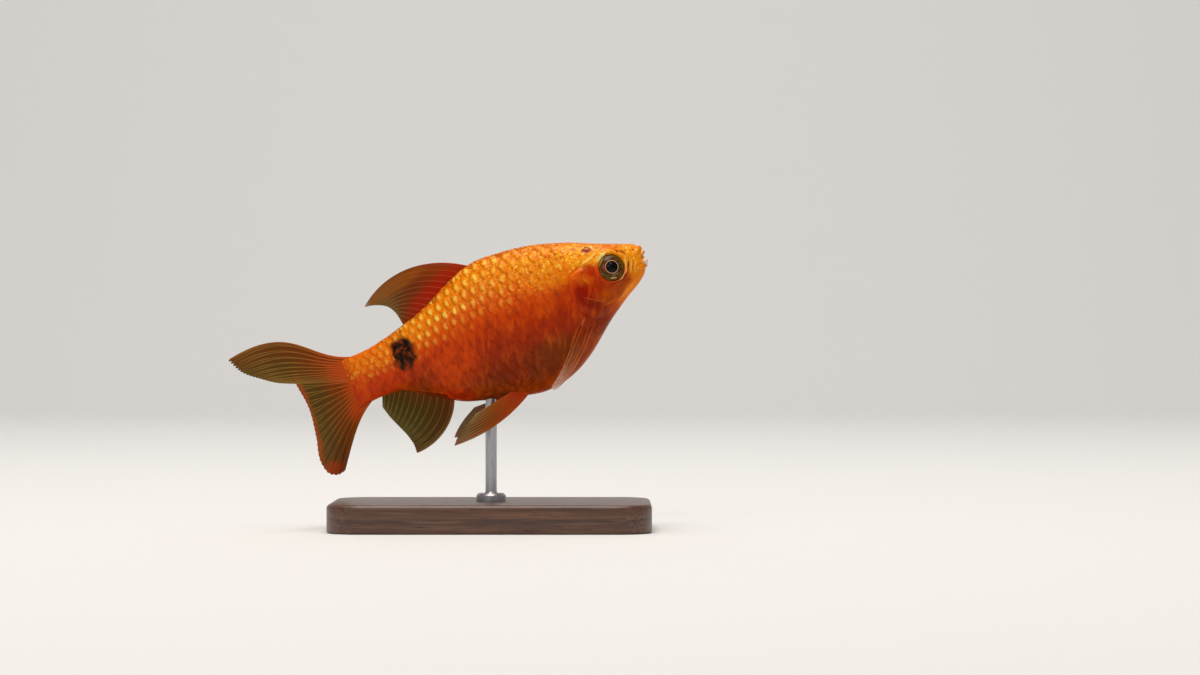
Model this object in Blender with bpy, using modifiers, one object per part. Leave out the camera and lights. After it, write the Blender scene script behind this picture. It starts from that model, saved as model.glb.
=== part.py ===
# A gold rosy barb at life size, held nose up over a small wooden base by one steel rod.
# The fish is worked out in its own frame, in millimetres: x runs forward from the base of the
# tail fin, y to the fish's left and z up. It is bent, pitched and set on its rod at the end.

import math

import bmesh
import bpy
import numpy as np
from mathutils import Matrix, Vector

MM = 0.001
GAP = 0.3  # kept between pieces that touch
SNOUT_X = 55.3  # the standard length, without the lips
BODY_MIDDLE_X = 27.0

# Pose: nose up, the tail stroke to the left and the head turned a little the same way
PITCH_DEG = 22.2
TAIL_SWING = 4.5
TAIL_SWING_FROM_X = 24.0
TAIL_TIP_X = -20.0
HEAD_TURN = 0.8
HEAD_TURN_FROM_X = 36.0

# Outline of the body, each as (x, size)
BACK = ((-1, 4.3), (3.5, 4.3), (8, 5.0), (12, 6.0), (15, 6.8), (18, 8.1), (22, 9.9), (26, 11.3),
        (32, 11.25), (38, 10.3), (43, 8.65), (48, 6.4), (52, 4.7), (SNOUT_X, 3.4))
BELLY = ((-1, -4.9), (3.5, -4.5), (8, -5.1), (12, -7.5), (15.5, -10.2), (20, -11.9), (25, -13.3),
         (31, -14.5), (37, -13.25), (41, -11.0), (45, -7.75), (50, -4.5), (SNOUT_X, -1.5))
HALF_WIDTH = ((-1, 0.55), (1, 1.0), (5, 1.7), (12, 2.9), (20, 4.3), (28, 5.1), (35, 5.2),
              (42, 4.5), (48, 3.5), (52, 2.5), (SNOUT_X, 1.5))
WIDEST = ((-1, -0.3), (12, -0.6), (30, -1.6), (42, -0.8), (50, 0.6), (SNOUT_X, 1.1))
UPPER_ROUNDNESS = ((-1, 2.0), (26, 1.85), (40, 2.0), (49, 2.5), (SNOUT_X, 2.2))
LOWER_ROUNDNESS = 2.15
NOSE_ROUNDING = 1.2  # length over which the snout rounds off
NOSE_RINGS = 6
NOSE_LAST_DEG = 82.0

TAIL_END_X = -1.0
STALK_CUT_X = 11.5  # trunk and tail stalk part here
HEAD_CUT_X = 43.4  # trunk and head part here
COLUMNS = 44
TRUNK_RING_SPACING = 1.5
HEAD_RING_SPACING = 1.0

# Eyes
EYE_X, EYE_Z = 49.12, 1.12
EYE_RADIUS = 2.35
EYE_HALF_DEPTH = 1.5
EYE_BULGE = 0.75
EYE_FORWARD_DEG = 12.0
EYE_UP_DEG = 5.0
LENS_RADIUS = 1.2  # the part of it that shows over the eyeball is the pupil
LENS_DEPTH = 1.05
LENS_RISE = 0.16
ORBIT_RIM = 0.34
ORBIT_RING_RADIUS = 2.75
ORBIT_SINK = 0.15  # of the rim's middle line under the skin

# Mouth and nostrils
MOUTH_CORNER_X, MOUTH_HALF_WIDTH = 52.3, 1.95
UPPER_LIP_FRONT = (55.1, 2.1)  # x, z
LOWER_LIP_FRONT = (55.05, 0.05)
UPPER_LIP_CORNER_Z, LOWER_LIP_CORNER_Z = 0.35, -0.35
LIP_RADIUS = 0.57
LIP_POINTS = 13
SLIT_CENTRE = (54.3, 0.75)
SLIT_HALF_LENGTH, SLIT_HALF_HEIGHT = 2.6, 0.26
SLIT_SLOPE_DEG = 24.0
NOSTRILS = ((52.0, 3.2, 0.40), (51.0, 3.55, 0.34))  # x, z, radius: front one, rear one
NOSTRIL_RIM = 0.15
NOSTRIL_FORWARD_DEG, NOSTRIL_UP_DEG = 22.0, 38.0
PIT_RADIUS, PIT_DEPTH = 0.8, 1.3  # as shares of the nostril's radius

# Gill cover: its outline seen from the side as (x, z), and how deep the plate lies in the head
GILL_OUTLINE = ((45.1, 2.5), (43.2, 3.1), (41.4, 2.0), (40.7, -0.6), (41.1, -3.4), (42.7, -5.5),
                (45.2, -6.1), (47.3, -4.9), (46.8, -2.6), (45.5, -0.6))
GILL_OUTLINE_STEPS = 3
GILL_RISE, GILL_DEPTH = 0.3, 0.4
GILL_INNER_Y, GILL_OUTER_Y = 0.7, 9.0  # between these the outline is run sideways

# Fins
MEMBRANE, RIDGE, EDGE = 0.5, 0.95, 0.3  # thickness between rays, on a ray and at the tips
SMOOTH_PART = 0.15  # share of a ray's length, at its root, that is smooth and full
SIMPLE_PART = 0.45  # share of a ray's length before it branches
THINNING_FROM = 0.75  # share of a ray's length where the fin starts to thin towards its edge
BRANCH_HEIGHT = 0.8  # of a branch, as a share of the undivided ray's
ROOT_SINK = 1.2  # how far a fin's root starts under the skin
LOWER_LOBE_SWEEP = 8.0  # sideways reach of the lower tail lobe's tip, away from the swing's start
UPPER_LOBE_SWEEP = -1.2
UPPER_LOBE_DEPTH = 4.5  # of the upper lobe above the ray that ends in the fork
FORK_X, FORK_Z = -9.8, 3.4  # where the two tail lobes part
LOBE_GAP = 0.5

# Stand
BASE_LENGTH, BASE_WIDTH, BASE_HEIGHT = 56.0, 32.0, 5.0
BASE_CORNER, BASE_BEVEL = 6.0, 0.8
ROD_X = 21.0  # where the rod meets the belly, in the fish's frame
ROD_RADIUS, COLLAR_RADIUS, COLLAR_HEIGHT = 1.0, 2.6, 1.4
COLLAR_CHAMFER = 0.4
BASE_TO_FISH_ORIGIN = 21.0  # height of the fish's origin over the top of the base

SKIN = ("gold_orange_skin", (0.86, 0.24, 0.015), 0.35, 0.15)
COVER = ("red_gill_cover", (0.62, 0.09, 0.01), 0.3, 0.15)
FIN = ("amber_fin", (0.55, 0.16, 0.02), 0.45, 0.0)
EYE = ("dark_gold_eye", (0.12, 0.05, 0.01), 0.12, 0.2)
WOOD = ("walnut", (0.12, 0.055, 0.025), 0.4, 0.0)
STEEL = ("brushed_steel", (0.55, 0.55, 0.57), 0.28, 1.0)


def clear_scene():
    for obj in list(bpy.data.objects):
        bpy.data.objects.remove(obj, do_unlink=True)


def new_collection(name, hidden=False):
    collection = bpy.data.collections.new(name)
    bpy.context.scene.collection.children.link(collection)
    collection.hide_render = hidden
    return collection


def smooth_line(points):
    """A smooth curve through (position, value) pairs; a value is a number or a tuple."""
    at = np.array([p[0] for p in points], float)
    values = np.array([np.atleast_1d(p[1]) for p in points], float)
    slopes = np.gradient(values, at, axis=0)

    def line(x):
        x = min(max(x, at[0]), at[-1])
        i = min(int(np.searchsorted(at, x, side="right")) - 1, len(at) - 2)
        span = at[i + 1] - at[i]
        s = (x - at[i]) / span
        value = (
            values[i] * (1 + 2 * s) * (1 - s) ** 2
            + values[i + 1] * s * s * (3 - 2 * s)
            + span * slopes[i] * s * (1 - s) ** 2
            - span * slopes[i + 1] * s * s * (1 - s)
        )
        return value if value.size > 1 else float(value[0])

    return line


back = smooth_line(BACK)
belly = smooth_line(BELLY)
half_width = smooth_line(HALF_WIDTH)
widest = smooth_line(WIDEST)
upper_roundness = smooth_line(UPPER_ROUNDNESS)


def snout_share(x):
    """1 along the body, falling to 0 at the tip of the snout like a quarter circle."""
    beyond = max(0.0, (x - (SNOUT_X - NOSE_ROUNDING)) / NOSE_ROUNDING)
    return math.sqrt(max(0.0, 1 - beyond * beyond))


def sway(x):
    """Sideways shift of the body's midline in this pose."""
    if x < TAIL_SWING_FROM_X:
        return TAIL_SWING * ((TAIL_SWING_FROM_X - x) / (TAIL_SWING_FROM_X - TAIL_TIP_X)) ** 2
    if x > HEAD_TURN_FROM_X:
        return HEAD_TURN * ((x - HEAD_TURN_FROM_X) / (SNOUT_X - HEAD_TURN_FROM_X)) ** 2
    return 0.0


def signed_power(value, power):
    return math.copysign(abs(value) ** power, value)


def body_point(x, turn, grow=0.0):
    """A point of the body's surface, grown outwards by grow; turn 0 is the back, 90 the left."""
    middle = widest(x)
    share = snout_share(x)
    upper = math.cos(turn) >= 0
    roundness = upper_roundness(x) if upper else LOWER_ROUNDNESS
    height = (back(x) - middle if upper else middle - belly(x)) * share + grow
    width = half_width(x) * share + grow
    along = x + grow * (x - BODY_MIDDLE_X) / (SNOUT_X - BODY_MIDDLE_X)
    return Vector((
        along,
        width * signed_power(math.sin(turn), 2 / roundness),
        middle + height * signed_power(math.cos(turn), 2 / roundness),
    ))


def flank(x, z):
    """Half width of the body at a height."""
    middle = widest(x)
    upper = z >= middle
    roundness = upper_roundness(x) if upper else LOWER_ROUNDNESS
    height = back(x) - middle if upper else middle - belly(x)
    reach = min(1.0, abs(z - middle) / (height * max(snout_share(x), 0.05)))
    return half_width(x) * snout_share(x) * (1 - reach**roundness) ** (1 / roundness)


def new_object(name, mesh, collection):
    obj = bpy.data.objects.new(name, mesh)
    collection.objects.link(obj)
    return obj


def mesh_object(name, points, faces, collection):
    """A mesh object from points in millimetres."""
    mesh = bpy.data.meshes.new(name)
    mesh.from_pydata([Vector(p) * MM for p in points], [], faces)
    return new_object(name, mesh, collection)


def ring_positions(from_x, to_x, spacing):
    """Places of the body's rings from tail to head, closer where the snout rounds off."""
    straight_end = min(to_x, SNOUT_X - NOSE_ROUNDING)
    steps = max(1, round((straight_end - from_x) / spacing))
    places = [from_x + (straight_end - from_x) * i / steps for i in range(steps + 1)]
    if to_x > straight_end:
        for i in range(1, NOSE_RINGS + 1):
            angle = math.radians(NOSE_LAST_DEG * i / NOSE_RINGS)
            places.append(straight_end + NOSE_ROUNDING * math.sin(angle))
    return places


def body_length(name, from_x, to_x, spacing, collection, grow=0.0):
    """The body between two cross sections, as a loft of rings closed by a face at each end."""
    places = ring_positions(from_x, to_x, spacing)
    turns = [2 * math.pi * c / COLUMNS for c in range(COLUMNS)]
    points = [body_point(x, turn, grow) for x in places for turn in turns]
    faces = []
    for ring in range(len(places) - 1):
        first, second = ring * COLUMNS, (ring + 1) * COLUMNS
        for c in range(COLUMNS):
            d = (c + 1) % COLUMNS
            faces.append((first + c, first + d, second + d, second + c))
    last = (len(places) - 1) * COLUMNS
    faces.append(tuple(reversed(range(COLUMNS))))
    faces.append(tuple(range(last, last + COLUMNS)))
    obj = mesh_object(name, points, faces, collection)
    return facing_out(obj)


def facing_out(obj):
    """Merges doubled points and turns every face outwards."""
    shape = bmesh.new()
    shape.from_mesh(obj.data)
    bmesh.ops.remove_doubles(shape, verts=shape.verts, dist=0.002 * MM)
    bmesh.ops.recalc_face_normals(shape, faces=shape.faces)
    shape.to_mesh(obj.data)
    shape.free()
    return obj


def apply_modifiers(obj):
    """Makes what the modifiers, or a curve's bevel, give into the object's own mesh."""
    bpy.context.view_layer.update()
    graph = bpy.context.evaluated_depsgraph_get()
    mesh = bpy.data.meshes.new_from_object(obj.evaluated_get(graph))
    if obj.type == "MESH":
        obj.modifiers.clear()
        obj.data = mesh
        return obj
    name, collection = obj.name, obj.users_collection[0]
    matrix = obj.matrix_world.copy()
    bpy.data.objects.remove(obj)
    made = new_object(name, mesh, collection)
    made.matrix_world = matrix
    return facing_out(made)


def largest_surface_only(obj):
    """Drops every closed surface but the largest, and with it loose scraps of a cut."""
    shape = bmesh.new()
    shape.from_mesh(obj.data)
    left, bodies = set(shape.faces), []
    while left:
        found, edge = set(), [left.pop()]
        while edge:
            face = edge.pop()
            found.add(face)
            for neighbour in (f for e in face.edges for f in e.link_faces if f in left):
                left.discard(neighbour)
                edge.append(neighbour)
        bodies.append(found)
    largest = max(bodies, key=lambda body: sum(f.calc_area() for f in body))
    scraps = [f for body in bodies if body is not largest for f in body]
    bmesh.ops.delete(shape, geom=scraps, context="FACES")
    shape.to_mesh(obj.data)
    shape.free()
    return obj


def combine(obj, operation, tool):
    """One Boolean of obj with a mesh object, or with every object of a collection, applied."""
    modifier = obj.modifiers.new(operation.lower(), "BOOLEAN")
    modifier.operation = operation
    modifier.solver = "EXACT"
    if isinstance(tool, bpy.types.Collection):
        modifier.operand_type = "COLLECTION"
        modifier.collection = tool
    else:
        modifier.object = tool
    return apply_modifiers(obj)


def empty_collection(collection):
    for obj in list(collection.objects):
        bpy.data.objects.remove(obj)


def tube(name, path, radii, collection):
    """A round tube along points in millimetres, as a closed mesh."""
    curve = bpy.data.curves.new(name, "CURVE")
    curve.dimensions = "3D"
    curve.bevel_depth = MM
    curve.bevel_resolution = 2
    curve.use_fill_caps = True
    spline = curve.splines.new("POLY")
    spline.points.add(len(path) - 1)
    for point, place, radius in zip(spline.points, path, radii):
        point.co = (*(Vector(place) * MM), 1.0)
        point.radius = radius
    return apply_modifiers(new_object(name, curve, collection))


def standing_on(place, direction):
    """A transform that puts a shape at a place, in millimetres, with its z axis along direction."""
    turn = Vector((0, 0, 1)).rotation_difference(Vector(direction))
    return Matrix.Translation(Vector(place) * MM) @ turn.to_matrix().to_4x4()


def move_into(obj, collection, name):
    for old in list(obj.users_collection):
        old.objects.unlink(obj)
    collection.objects.link(obj)
    obj.name = name
    obj.data.name = name
    return obj


def spheroid(name, place, direction, radius, half_depth, collection, segments=20, rings=9):
    """A flattened ball, thin along direction."""
    bpy.ops.mesh.primitive_uv_sphere_add(segments=segments, ring_count=rings, radius=MM)
    obj = move_into(bpy.context.object, collection, name)
    size = Matrix.Diagonal((radius, radius, half_depth, 1.0))
    obj.data.transform(standing_on(place, direction) @ size)
    return obj


def ring(name, place, direction, radius, thickness, collection, segments=28, sides=6):
    bpy.ops.mesh.primitive_torus_add(
        major_radius=radius * MM, minor_radius=thickness * MM,
        major_segments=segments, minor_segments=sides)
    obj = move_into(bpy.context.object, collection, name)
    obj.data.transform(standing_on(place, direction))
    return obj


def outward(side, forward_deg, up_deg):
    """The direction that a side of the head faces; side is 1 on the left and -1 on the right."""
    forward, up = math.radians(forward_deg), math.radians(up_deg)
    return Vector((
        math.sin(forward) * math.cos(up),
        side * math.cos(forward) * math.cos(up),
        math.sin(up),
    ))


def eye_centre(side):
    skin = Vector((EYE_X, side * flank(EYE_X, EYE_Z), EYE_Z))
    return skin + outward(side, EYE_FORWARD_DEG, EYE_UP_DEG) * (EYE_BULGE - EYE_HALF_DEPTH)


def eye(name, side, fish, tools):
    """A flattened eyeball with the lens raised a little in its middle."""
    facing = outward(side, EYE_FORWARD_DEG, EYE_UP_DEG)
    ball = spheroid(name, eye_centre(side), facing, EYE_RADIUS, EYE_HALF_DEPTH, fish)
    sunk = eye_centre(side) + facing * (EYE_HALF_DEPTH + LENS_RISE - LENS_DEPTH)
    spheroid("lens", sunk, facing, LENS_RADIUS, LENS_DEPTH, tools, 14, 8)
    combine(ball, "UNION", tools)
    empty_collection(tools)
    return largest_surface_only(ball)


def lip_path(front, corner_z):
    """Points of one lip, from the right corner of the mouth round the snout to the left."""
    path = []
    for i in range(LIP_POINTS):
        angle = math.pi * (i / (LIP_POINTS - 1) - 0.5)
        share = math.cos(angle) ** 0.8
        path.append((
            MOUTH_CORNER_X + (front[0] - MOUTH_CORNER_X) * share,
            MOUTH_HALF_WIDTH * math.sin(angle),
            corner_z + (front[1] - corner_z) * share,
        ))
    return path


def lip_radii():
    angles = [math.pi * (i / (LIP_POINTS - 1) - 0.5) for i in range(LIP_POINTS)]
    return [LIP_RADIUS * (0.55 + 0.45 * math.cos(a)) for a in angles]


def nostril_places(side):
    for x, z, radius in NOSTRILS:
        facing = outward(side, NOSTRIL_FORWARD_DEG, NOSTRIL_UP_DEG)
        yield Vector((x, side * flank(x, z), z)), facing, radius


def head(fish, tools):
    """The head with lips, mouth slit, nostrils, and the rims and sockets of the eyes."""
    skull = body_length("head", HEAD_CUT_X + GAP / 2, SNOUT_X, HEAD_RING_SPACING, fish)
    tube("upper_lip", lip_path(UPPER_LIP_FRONT, UPPER_LIP_CORNER_Z), lip_radii(), tools)
    tube("lower_lip", lip_path(LOWER_LIP_FRONT, LOWER_LIP_CORNER_Z), lip_radii(), tools)
    for side in (-1, 1):
        facing = outward(side, EYE_FORWARD_DEG, EYE_UP_DEG)
        rim_centre = eye_centre(side) + facing * (EYE_HALF_DEPTH - EYE_BULGE - ORBIT_SINK)
        ring(f"orbit{side}", rim_centre, facing, ORBIT_RING_RADIUS, ORBIT_RIM, tools)
        for place, aim, radius in nostril_places(side):
            ring(f"nostril_rim{side}", place, aim, radius, NOSTRIL_RIM, tools, 10, 5)
    combine(skull, "UNION", tools)
    empty_collection(tools)
    for side in (-1, 1):
        facing = outward(side, EYE_FORWARD_DEG, EYE_UP_DEG)
        spheroid(f"socket{side}", eye_centre(side), facing, EYE_RADIUS + GAP,
                 EYE_HALF_DEPTH + GAP, tools)
        for place, aim, radius in nostril_places(side):
            spheroid(f"pit{side}", place, aim, radius * PIT_RADIUS, radius * PIT_DEPTH, tools, 8, 6)
    slope = math.radians(SLIT_SLOPE_DEG)
    slit = spheroid("slit", (0, 0, 0), (0, 0, 1), SLIT_HALF_LENGTH, SLIT_HALF_HEIGHT, tools, 20, 8)
    place = Vector((SLIT_CENTRE[0], 0, SLIT_CENTRE[1])) * MM
    slit.data.transform(Matrix.Translation(place) @ Matrix.Rotation(-slope, 4, "Y"))
    combine(skull, "DIFFERENCE", tools)
    empty_collection(tools)
    return largest_surface_only(skull)


def gill_prism(name, side, grow, collection):
    """The gill cover's outline run sideways through one half of the head."""
    count = len(GILL_OUTLINE)
    wrapped = [(i, GILL_OUTLINE[i % count]) for i in range(-2, count + 3)]
    outline = smooth_line(wrapped)
    middle = np.mean(GILL_OUTLINE, axis=0)
    corners = []
    for i in range(count * GILL_OUTLINE_STEPS):
        place = outline(i / GILL_OUTLINE_STEPS)
        away = (place - middle) / np.linalg.norm(place - middle)
        corners.append(place + away * grow)
    total = len(corners)
    points = [(x, side * y, z) for y in (GILL_INNER_Y, GILL_OUTER_Y) for x, z in corners]
    faces = [(i, (i + 1) % total, total + (i + 1) % total, total + i) for i in range(total)]
    faces += [tuple(reversed(range(total))), tuple(range(total, 2 * total))]
    return facing_out(mesh_object(name, points, faces, collection))


def gill_cover(name, side, fish, tools):
    """A plate with the head's own curve, standing a little proud of it."""
    plate = gill_prism(name, side, 0.0, fish)
    outer = body_length("outer", TAIL_END_X, SNOUT_X, TRUNK_RING_SPACING, tools, GILL_RISE)
    combine(plate, "INTERSECT", outer)
    inner = body_length("inner", TAIL_END_X, SNOUT_X, TRUNK_RING_SPACING, tools, -GILL_DEPTH)
    combine(plate, "DIFFERENCE", inner)
    empty_collection(tools)
    return largest_surface_only(plate)


def cut_gill_recess(obj, tools):
    """Takes from the head or trunk the shallow bed that each gill cover lies in."""
    floor = body_length("floor", TAIL_END_X, SNOUT_X, TRUNK_RING_SPACING, tools,
                        -GILL_DEPTH - GAP)
    for side in (-1, 1):
        bed = gill_prism("bed", side, GAP, tools)
        combine(bed, "DIFFERENCE", floor)
        combine(obj, "DIFFERENCE", bed)
    empty_collection(tools)
    return largest_surface_only(obj)


def ray_thickness(across, along, rays, columns):
    """Share of the fin's greatest thickness at a place: ridges on the rays, which branch."""
    thinning = max(0.0, (along - THINNING_FROM) / (1 - THINNING_FROM))
    fade = 1 - (1 - EDGE / MEMBRANE) * thinning**2
    root = min(1.0, max(0.0, 1 - (along - SMOOTH_PART) / 0.2))
    valley = MEMBRANE / RIDGE
    place = (across * rays) % 1.0
    simple = 1 - abs(place - 0.5) * 2
    branched = 1 - abs(abs(place - 0.5) - 0.25) * 4
    share = min(1.0, max(0.0, (along - SIMPLE_PART) / 0.2)) if columns > 2 else 0.0
    height = simple * (1 - share) + branched * BRANCH_HEIGHT * share
    if across < 1e-6:
        height = 1.0
    return (valley + (1 - valley) * max(height, root)) * fade


def fin_sheet(name, design, collection, side=1):
    """The fin's middle surface as triangles, with its thickness in a vertex group."""
    root, tip = smooth_line(design["root"]), smooth_line(design["tip"])
    bows = [smooth_line(bow) for bow in design["bows"]]
    lean = design.get("lean", lambda across, along, place: 0.0)
    rays, per_ray, rows = design["rays"], design["per_ray"], design["rows"]
    count = rays * per_ray
    points, shares = [], []
    for i in range(count + 1):
        across = i / count
        start, end = Vector(root(across)), Vector(tip(across))
        first = start.lerp(end, 1 / 3) + Vector(bows[0](across))
        second = start.lerp(end, 2 / 3) + Vector(bows[1](across))
        for j in range(rows + 1):
            s = j / rows
            place = (start * (1 - s) ** 3 + first * 3 * s * (1 - s) ** 2
                     + second * 3 * s * s * (1 - s) + end * s**3)
            place.y = side * (place.y + lean(across, s, place))
            points.append(place)
            shares.append(ray_thickness(across, s, rays, per_ray))
    faces = []
    for i in range(count):
        for j in range(rows):
            a, b = i * (rows + 1) + j, (i + 1) * (rows + 1) + j
            faces += [(a, b, b + 1), (a, b + 1, a + 1)]
    if side < 0:
        faces = [tuple(reversed(face)) for face in faces]
    obj = mesh_object(name, points, faces, collection)
    group = obj.vertex_groups.new(name="thickness")
    for index, share in enumerate(shares):
        group.add([index], share, "REPLACE")
    return obj


def fin(name, design, fish, clearance, side=1):
    """A fin with its rays as ridges, cut at its root to the body's surface."""
    obj = fin_sheet(name, design, fish, side)
    shell = obj.modifiers.new("shell", "SOLIDIFY")
    shell.thickness = RIDGE * MM
    shell.offset = 0.0
    shell.vertex_group = "thickness"
    shell.use_even_offset = False
    apply_modifiers(obj)
    facing_out(obj)
    combine(obj, "DIFFERENCE", clearance)
    return largest_surface_only(obj)


def flat(points):
    """Points (across, x, z) of a fin in the fish's middle plane."""
    return [(at, (x, 0.0, z)) for at, x, z in points]


def along_profile(line, from_x, to_x, sink, steps=6):
    """Root points that follow the back or the belly under the skin."""
    found = []
    for i in range(steps + 1):
        x = from_x + (to_x - from_x) * i / steps
        found.append((i / steps, x, line(x) + sink))
    return found


def upper_lobe_lean(across, along, place):
    """Grows with the distance behind the root and above the ray that ends in the fork."""
    above = max(0.0, place.z - FORK_Z * place.x / FORK_X)
    behind = max(0.0, place.x / TAIL_TIP_X)
    return UPPER_LOBE_SWEEP * min(1.0, above / UPPER_LOBE_DEPTH) * behind**1.5


def lower_lobe_lean(across, along, place):
    return LOWER_LOBE_SWEEP * (1 - across) ** 1.4 * along**1.8


def fin_designs():
    """Each fin by its root line, its tips, the bow of its rays and its number of rays."""
    return {
        "dorsal_fin": dict(
            root=flat(along_profile(back, 27.0, 12.0, -ROOT_SINK)),
            tip=flat([(0, 6.5, 11.2), (0.2, 8.1, 10.9), (0.4, 9.6, 10.3), (0.6, 10.6, 9.5),
                      (0.8, 11.25, 8.3), (1, 11.6, 6.9)]),
            bows=[flat([(0, 1.4, 4.3), (0.5, 0.4, 1.6), (1, 0, 0.1)]),
                  flat([(0, -0.3, 5.6), (0.5, -0.2, 1.6), (1, 0, 0.1)])],
            rays=11, per_ray=4, rows=7,
        ),
        "anal_fin": dict(
            root=flat(along_profile(belly, 15.3, 4.1, ROOT_SINK)),
            tip=flat([(0, 5.4, -15.9), (0.12, 5.5, -14.5), (0.3, 5.1, -12.5), (0.5, 4.5, -10.9),
                      (0.75, 3.5, -8.4), (1, 2.9, -6.2)]),
            bows=[flat([(0, 2.0, -1.9), (0.5, 0.6, -0.6), (1, 0, 0)]),
                  flat([(0, 1.1, -2.4), (0.5, 0.3, -0.6), (1, 0, 0)])],
            rays=8, per_ray=4, rows=7,
        ),
        "tail_fin_upper_lobe": dict(
            root=flat([(0, 1.4, 3.9), (0.5, 0.2, 2.2), (1, 0.2, LOBE_GAP / 2)]),
            tip=flat([(0, -19.4, 11.8), (0.25, -17.9, 8.8), (0.5, -15.2, 6.5),
                      (0.75, -12.8, 4.8), (1, FORK_X, FORK_Z + LOBE_GAP / 2)]),
            bows=[flat([(0, -1.0, -0.4), (0.5, 0, -0.4), (1, 0, 0)]),
                  flat([(0, 6.6, 5.0), (0.5, 1.0, 0.9), (1, 0, 0)])],
            rays=10, per_ray=4, rows=8,
            lean=upper_lobe_lean,
        ),
        "tail_fin_lower_lobe": dict(
            root=flat([(0, 2.6, -3.8), (0.5, 0.2, -2.2), (1, 0.2, -LOBE_GAP / 2)]),
            tip=flat([(0, -8.2, -14.1), (0.08, -9.5, -14.3), (0.16, -10.8, -13.6),
                      (0.28, -11.4, -11.3), (0.5, -10.3, -6.6), (0.75, -9.4, -1.5),
                      (1, FORK_X, FORK_Z - LOBE_GAP / 2)]),
            bows=[flat([(0, -1.2, 1.1), (0.5, 0, 0.2), (1, 0, 0)]),
                  flat([(0, 0.5, 1.4), (0.5, 0, 0.2), (1, 0, 0)])],
            rays=9, per_ray=4, rows=8,
            lean=lower_lobe_lean,
        ),
        "pelvic_fin": dict(
            root=[(0, (28.0, 1.3, -13.3)), (1, (25.0, 2.3, -12.2))],
            tip=[(0, (12.2, 5.2, -17.1)), (0.3, (13.3, 5.6, -16.0)), (0.6, (15.0, 5.8, -14.8)),
                 (1, (17.5, 5.4, -13.5))],
            bows=[flat([(0, 0, -1.9), (1, 0, -0.1)]), flat([(0, 0, -1.6), (1, 0, 0.1)])],
            rays=9, per_ray=2, rows=7,
        ),
        "pectoral_fin": dict(
            root=[(0, (43.1, 2.0, -6.0)), (1, (42.5, 2.4, -4.2))],
            tip=[(0, (32.3, 5.3, -15.1)), (0.5, (31.7, 5.4, -14.5)), (1, (31.6, 5.5, -13.7))],
            bows=[[(0, (0.9, 3.4, -0.6)), (1, (0.0, 3.3, 1.2))],
                  [(0, (1.2, 0.6, -0.6)), (1, (0.0, 0.6, -2.4))]],
            rays=6, per_ray=2, rows=9,
        ),
    }


def stand(world, rod_foot, belly_cutter):
    """A bevelled wooden base and a turned steel rod with a collar, cut to the belly."""
    bpy.ops.mesh.primitive_cube_add(size=1)
    base = move_into(bpy.context.object, world, "stand_base")
    size = Vector((BASE_LENGTH, BASE_WIDTH, BASE_HEIGHT)) * MM
    lift = Matrix.Translation((0, 0, BASE_HEIGHT * MM / 2))
    base.data.transform(lift @ Matrix.Diagonal((*size, 1)))
    shape = bmesh.new()
    shape.from_mesh(base.data)
    upright = [e for e in shape.edges if abs(e.verts[0].co.z - e.verts[1].co.z) > MM]
    bmesh.ops.bevel(shape, geom=upright, offset=BASE_CORNER * MM, segments=8, affect="EDGES",
                    profile=0.5)
    rim = [e for e in shape.edges if min(v.co.z for v in e.verts) > (BASE_HEIGHT - 0.1) * MM]
    bmesh.ops.bevel(shape, geom=rim, offset=BASE_BEVEL * MM, segments=3, affect="EDGES",
                    profile=0.5)
    shape.to_mesh(base.data)
    shape.free()

    top = BASE_TO_FISH_ORIGIN + BASE_HEIGHT
    profile = ((0, top), (ROD_RADIUS, top), (ROD_RADIUS, BASE_HEIGHT + COLLAR_HEIGHT),
               (COLLAR_RADIUS - COLLAR_CHAMFER, BASE_HEIGHT + COLLAR_HEIGHT),
               (COLLAR_RADIUS, BASE_HEIGHT + COLLAR_HEIGHT - COLLAR_CHAMFER),
               (COLLAR_RADIUS, BASE_HEIGHT + GAP), (0, BASE_HEIGHT + GAP))
    mesh = bpy.data.meshes.new("stand_rod")
    mesh.from_pydata([Vector((r, 0, z)) * MM for r, z in profile],
                     [(i, i + 1) for i in range(len(profile) - 1)], [])
    rod = new_object("stand_rod", mesh, world)
    turned = rod.modifiers.new("turned", "SCREW")
    turned.steps = turned.render_steps = 24
    turned.use_merge_vertices = True
    turned.merge_threshold = 0.001 * MM
    apply_modifiers(rod)
    rod.data.transform(Matrix.Translation(rod_foot * MM))
    facing_out(rod)
    combine(rod, "DIFFERENCE", belly_cutter)
    largest_surface_only(rod)
    return base, rod


def give_material(obj, finish):
    name, colour, roughness, metallic = finish
    material = bpy.data.materials.get(name)
    if material is None:
        material = bpy.data.materials.new(name)
        material.use_nodes = True
        shader = material.node_tree.nodes["Principled BSDF"]
        shader.inputs["Base Color"].default_value = (*colour, 1.0)
        shader.inputs["Roughness"].default_value = roughness
        shader.inputs["Metallic"].default_value = metallic
    obj.data.materials.clear()
    obj.data.materials.append(material)
    for face in obj.data.polygons:
        face.material_index = 0


def bend(obj):
    """Shifts every point of a piece sideways with the body's midline."""
    for vertex in obj.data.vertices:
        vertex.co.y += sway(vertex.co.x / MM) * MM


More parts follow.
